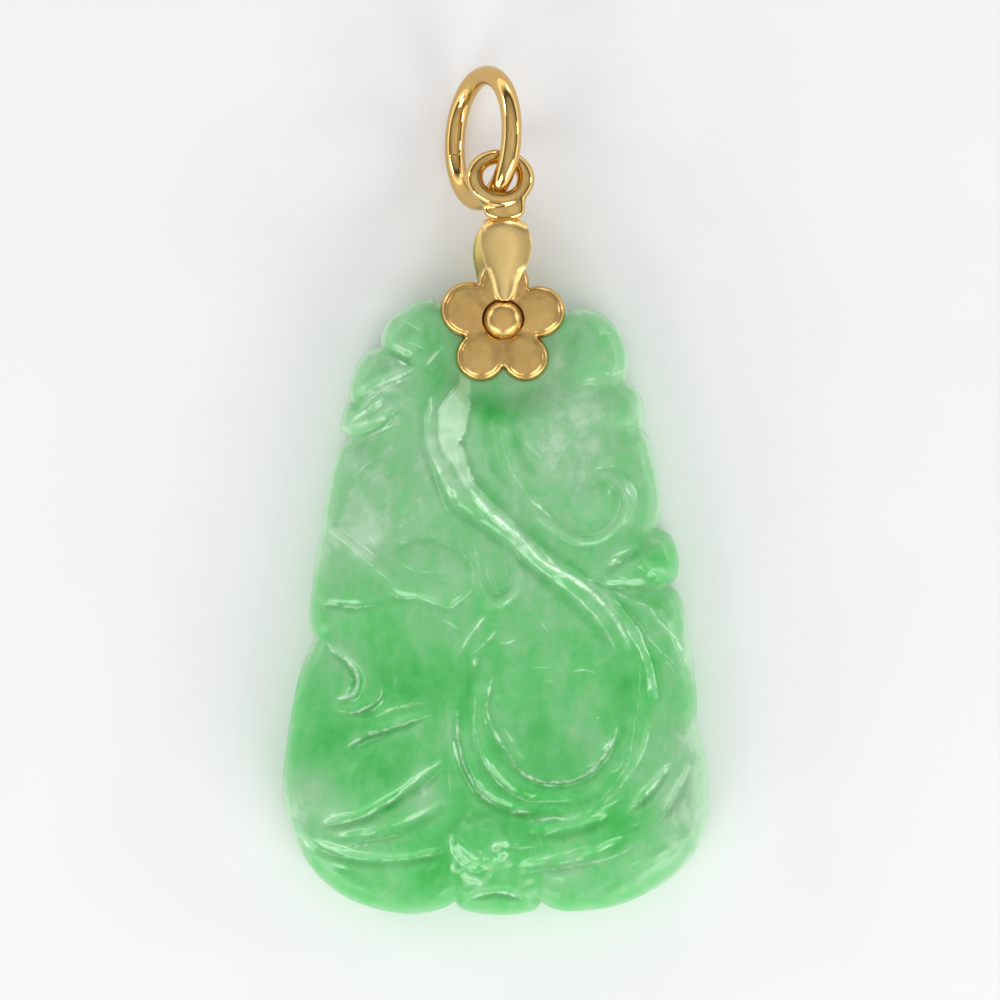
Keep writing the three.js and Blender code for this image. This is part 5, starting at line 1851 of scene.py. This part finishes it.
@dataclass
class Studio:
    """A pale floor, soft lights all round and a camera straight above, in metres."""

    field: float = 0.05
    distance: float = 0.28
    focus_height: float = 0.003
    sensor: float = 36.0
    floor_reach: float = 0.6
    light_distance: float = 0.42
    key_elevation: float = 31.0
    key_radiance: float = 4.6
    key_size: Point = (0.21, 0.13)
    keys: tuple = (238.0, 302.0)
    spark_radiance: float = 8.0
    spark_size: Point = (0.1, 0.07)
    sparks: tuple = ((14.0, 20.0), (80.0, 12.0), (150.0, 18.0), (215.0, 17.0), (322.0, 25.0))
    sky: tuple = (
        (0.0, 1.55), (0.18, 1.55), (0.3, 0.75), (0.42, 0.1), (0.5, 0.1), (0.58, 0.42), (0.76, 0.6), (0.92, 0.8),
        (1.0, 0.84),
    )

    def floor(self) -> None:
        """The floor that the pendant lies on."""
        surface = Surface()
        sides = np.array([-self.floor_reach, self.floor_reach])
        x, y = np.meshgrid(sides, sides)
        surface.quads(surface.add(np.dstack([x, y, np.zeros_like(x)])))
        frost_and_glint_colour = add_object("floor", surface.mesh("floor"))
        material, nodes, shader, where = new_material("pale_floor")
        tone = nodes.mix(nodes.noise(where, 90.0, 3.0), srgb(244, 245, 246), srgb(250, 250, 250))
        nodes.tree.links.new(tone, shader.inputs["Base Color"])
        shader.inputs["Roughness"].default_value = 0.7
        frost_and_glint_colour.data.materials.append(material)

    def softbox(self, name: str, azimuth: float, elevation: float, radiance: float, size: Point) -> None:
        """A square light that faces the pendant.

        Its power is radiance pi area, so that its brightness doesn't depend on its size.

        Args:
            name: what it is called.
            azimuth: its direction seen from above, in degrees from the pendant's right, counter-clockwise.
            elevation: its height over the floor, in degrees.
            radiance: how bright its surface is, with 1 as white paper in full light.
            size: its width and height.
        """
        light = bpy.data.lights.new(name, "AREA")
        light.shape = "RECTANGLE"
        light.size, light.size_y = size
        light.energy = radiance * np.pi * size[0] * size[1]
        lamp = add_object(name, light)
        turn, rise = np.radians([azimuth, elevation])
        towards = np.array([np.cos(rise) * np.cos(turn), np.cos(rise) * np.sin(turn), np.sin(rise)])
        lamp.location = self.light_distance * towards
        lamp.rotation_euler = (np.pi / 2.0 - rise, 0.0, turn + np.pi / 2.0)

    def world(self) -> None:
        """A sky that is bright overhead and near the floor, with a dark band between, which the gold reflects."""
        world = bpy.data.worlds.new("studio_sky")
        bpy.context.scene.world = world
        world.use_nodes = True
        nodes = Nodes(world.node_tree)
        direction = nodes.add("ShaderNodeTexCoord").outputs["Generated"]
        height = nodes.add("ShaderNodeSeparateXYZ", {0: direction}).outputs["Z"]
        sky = nodes.ramp(height, *((at, (value, value, value, 1.0)) for at, value in self.sky))
        clouds = nodes.spread(nodes.noise(direction, 2.6, 1.0), 0.5, 1.5)
        uneven = nodes.mix(1.0, sky, clouds, "MULTIPLY")
        background = world.node_tree.nodes["Background"]
        nodes.tree.links.new(uneven, background.inputs["Color"])

    def camera(self, drawing: Drawing) -> None:
        """A long lens straight above the drawing's origin that takes in the field at the height of the face.

        Args:
            drawing: where the pendant lies.
        """
        data = bpy.data.cameras.new("overhead")
        data.sensor_width = self.sensor
        data.lens = self.sensor * (self.distance - self.focus_height) / self.field
        data.clip_start = 0.01
        data.clip_end = 10.0
        camera = add_object("overhead", data)
        camera.location = (drawing.origin_x * MILLIMETRE, drawing.origin_y * MILLIMETRE, self.distance)
        bpy.context.scene.camera = camera

    def build(self, drawing: Drawing) -> None:
        """Sets up the whole studio.

        Args:
            drawing: where the pendant lies.
        """
        self.camera(drawing)
        self.floor()
        self.world()
        for k, azimuth in enumerate(self.keys):
            self.softbox(f"key_{k}", azimuth, self.key_elevation, self.key_radiance, self.key_size)
        for k, (azimuth, elevation) in enumerate(self.sparks):
            self.softbox(f"spark_{k}", azimuth, elevation, self.spark_radiance, self.spark_size)
        bpy.context.scene.view_settings.view_transform = "Standard"


def main() -> None:
    """Builds the pendant piece by piece, then the studio, and logs the frame's node count and each new piece's size."""
    logging.basicConfig(level=logging.INFO, format="%(name)s %(message)s")
    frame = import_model()
    log.info("frame of %d nodes", len(frame["nodes"]))
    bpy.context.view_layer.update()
    drawing = Drawing.from_frame(CentreBead().centre)
    satin = GoldFinish("satin_gold", light=srgb(246, 214, 146), deep=srgb(232, 196, 124))
    bright = GoldFinish("bright_gold", smoothest=0.05, roughest=0.11, clouds=260.0, bump=0.06)
    soft = GoldFinish("brushed_gold", deep=srgb(190, 148, 84), smoothest=0.2, roughest=0.34, clouds=520.0)
    CarvedJade().build(drawing, JadeFinish())
    Flower().build(drawing, soft)
    CentreBead().build(drawing, GoldFinish("bead_gold", smoothest=0.24, roughest=0.36))
    BailStrap().build(drawing, satin)
    Eyelet().build(drawing, bright)
    JumpRing().build(drawing, bright)
    Studio().build(drawing)


if __name__ == "__main__":
    main()
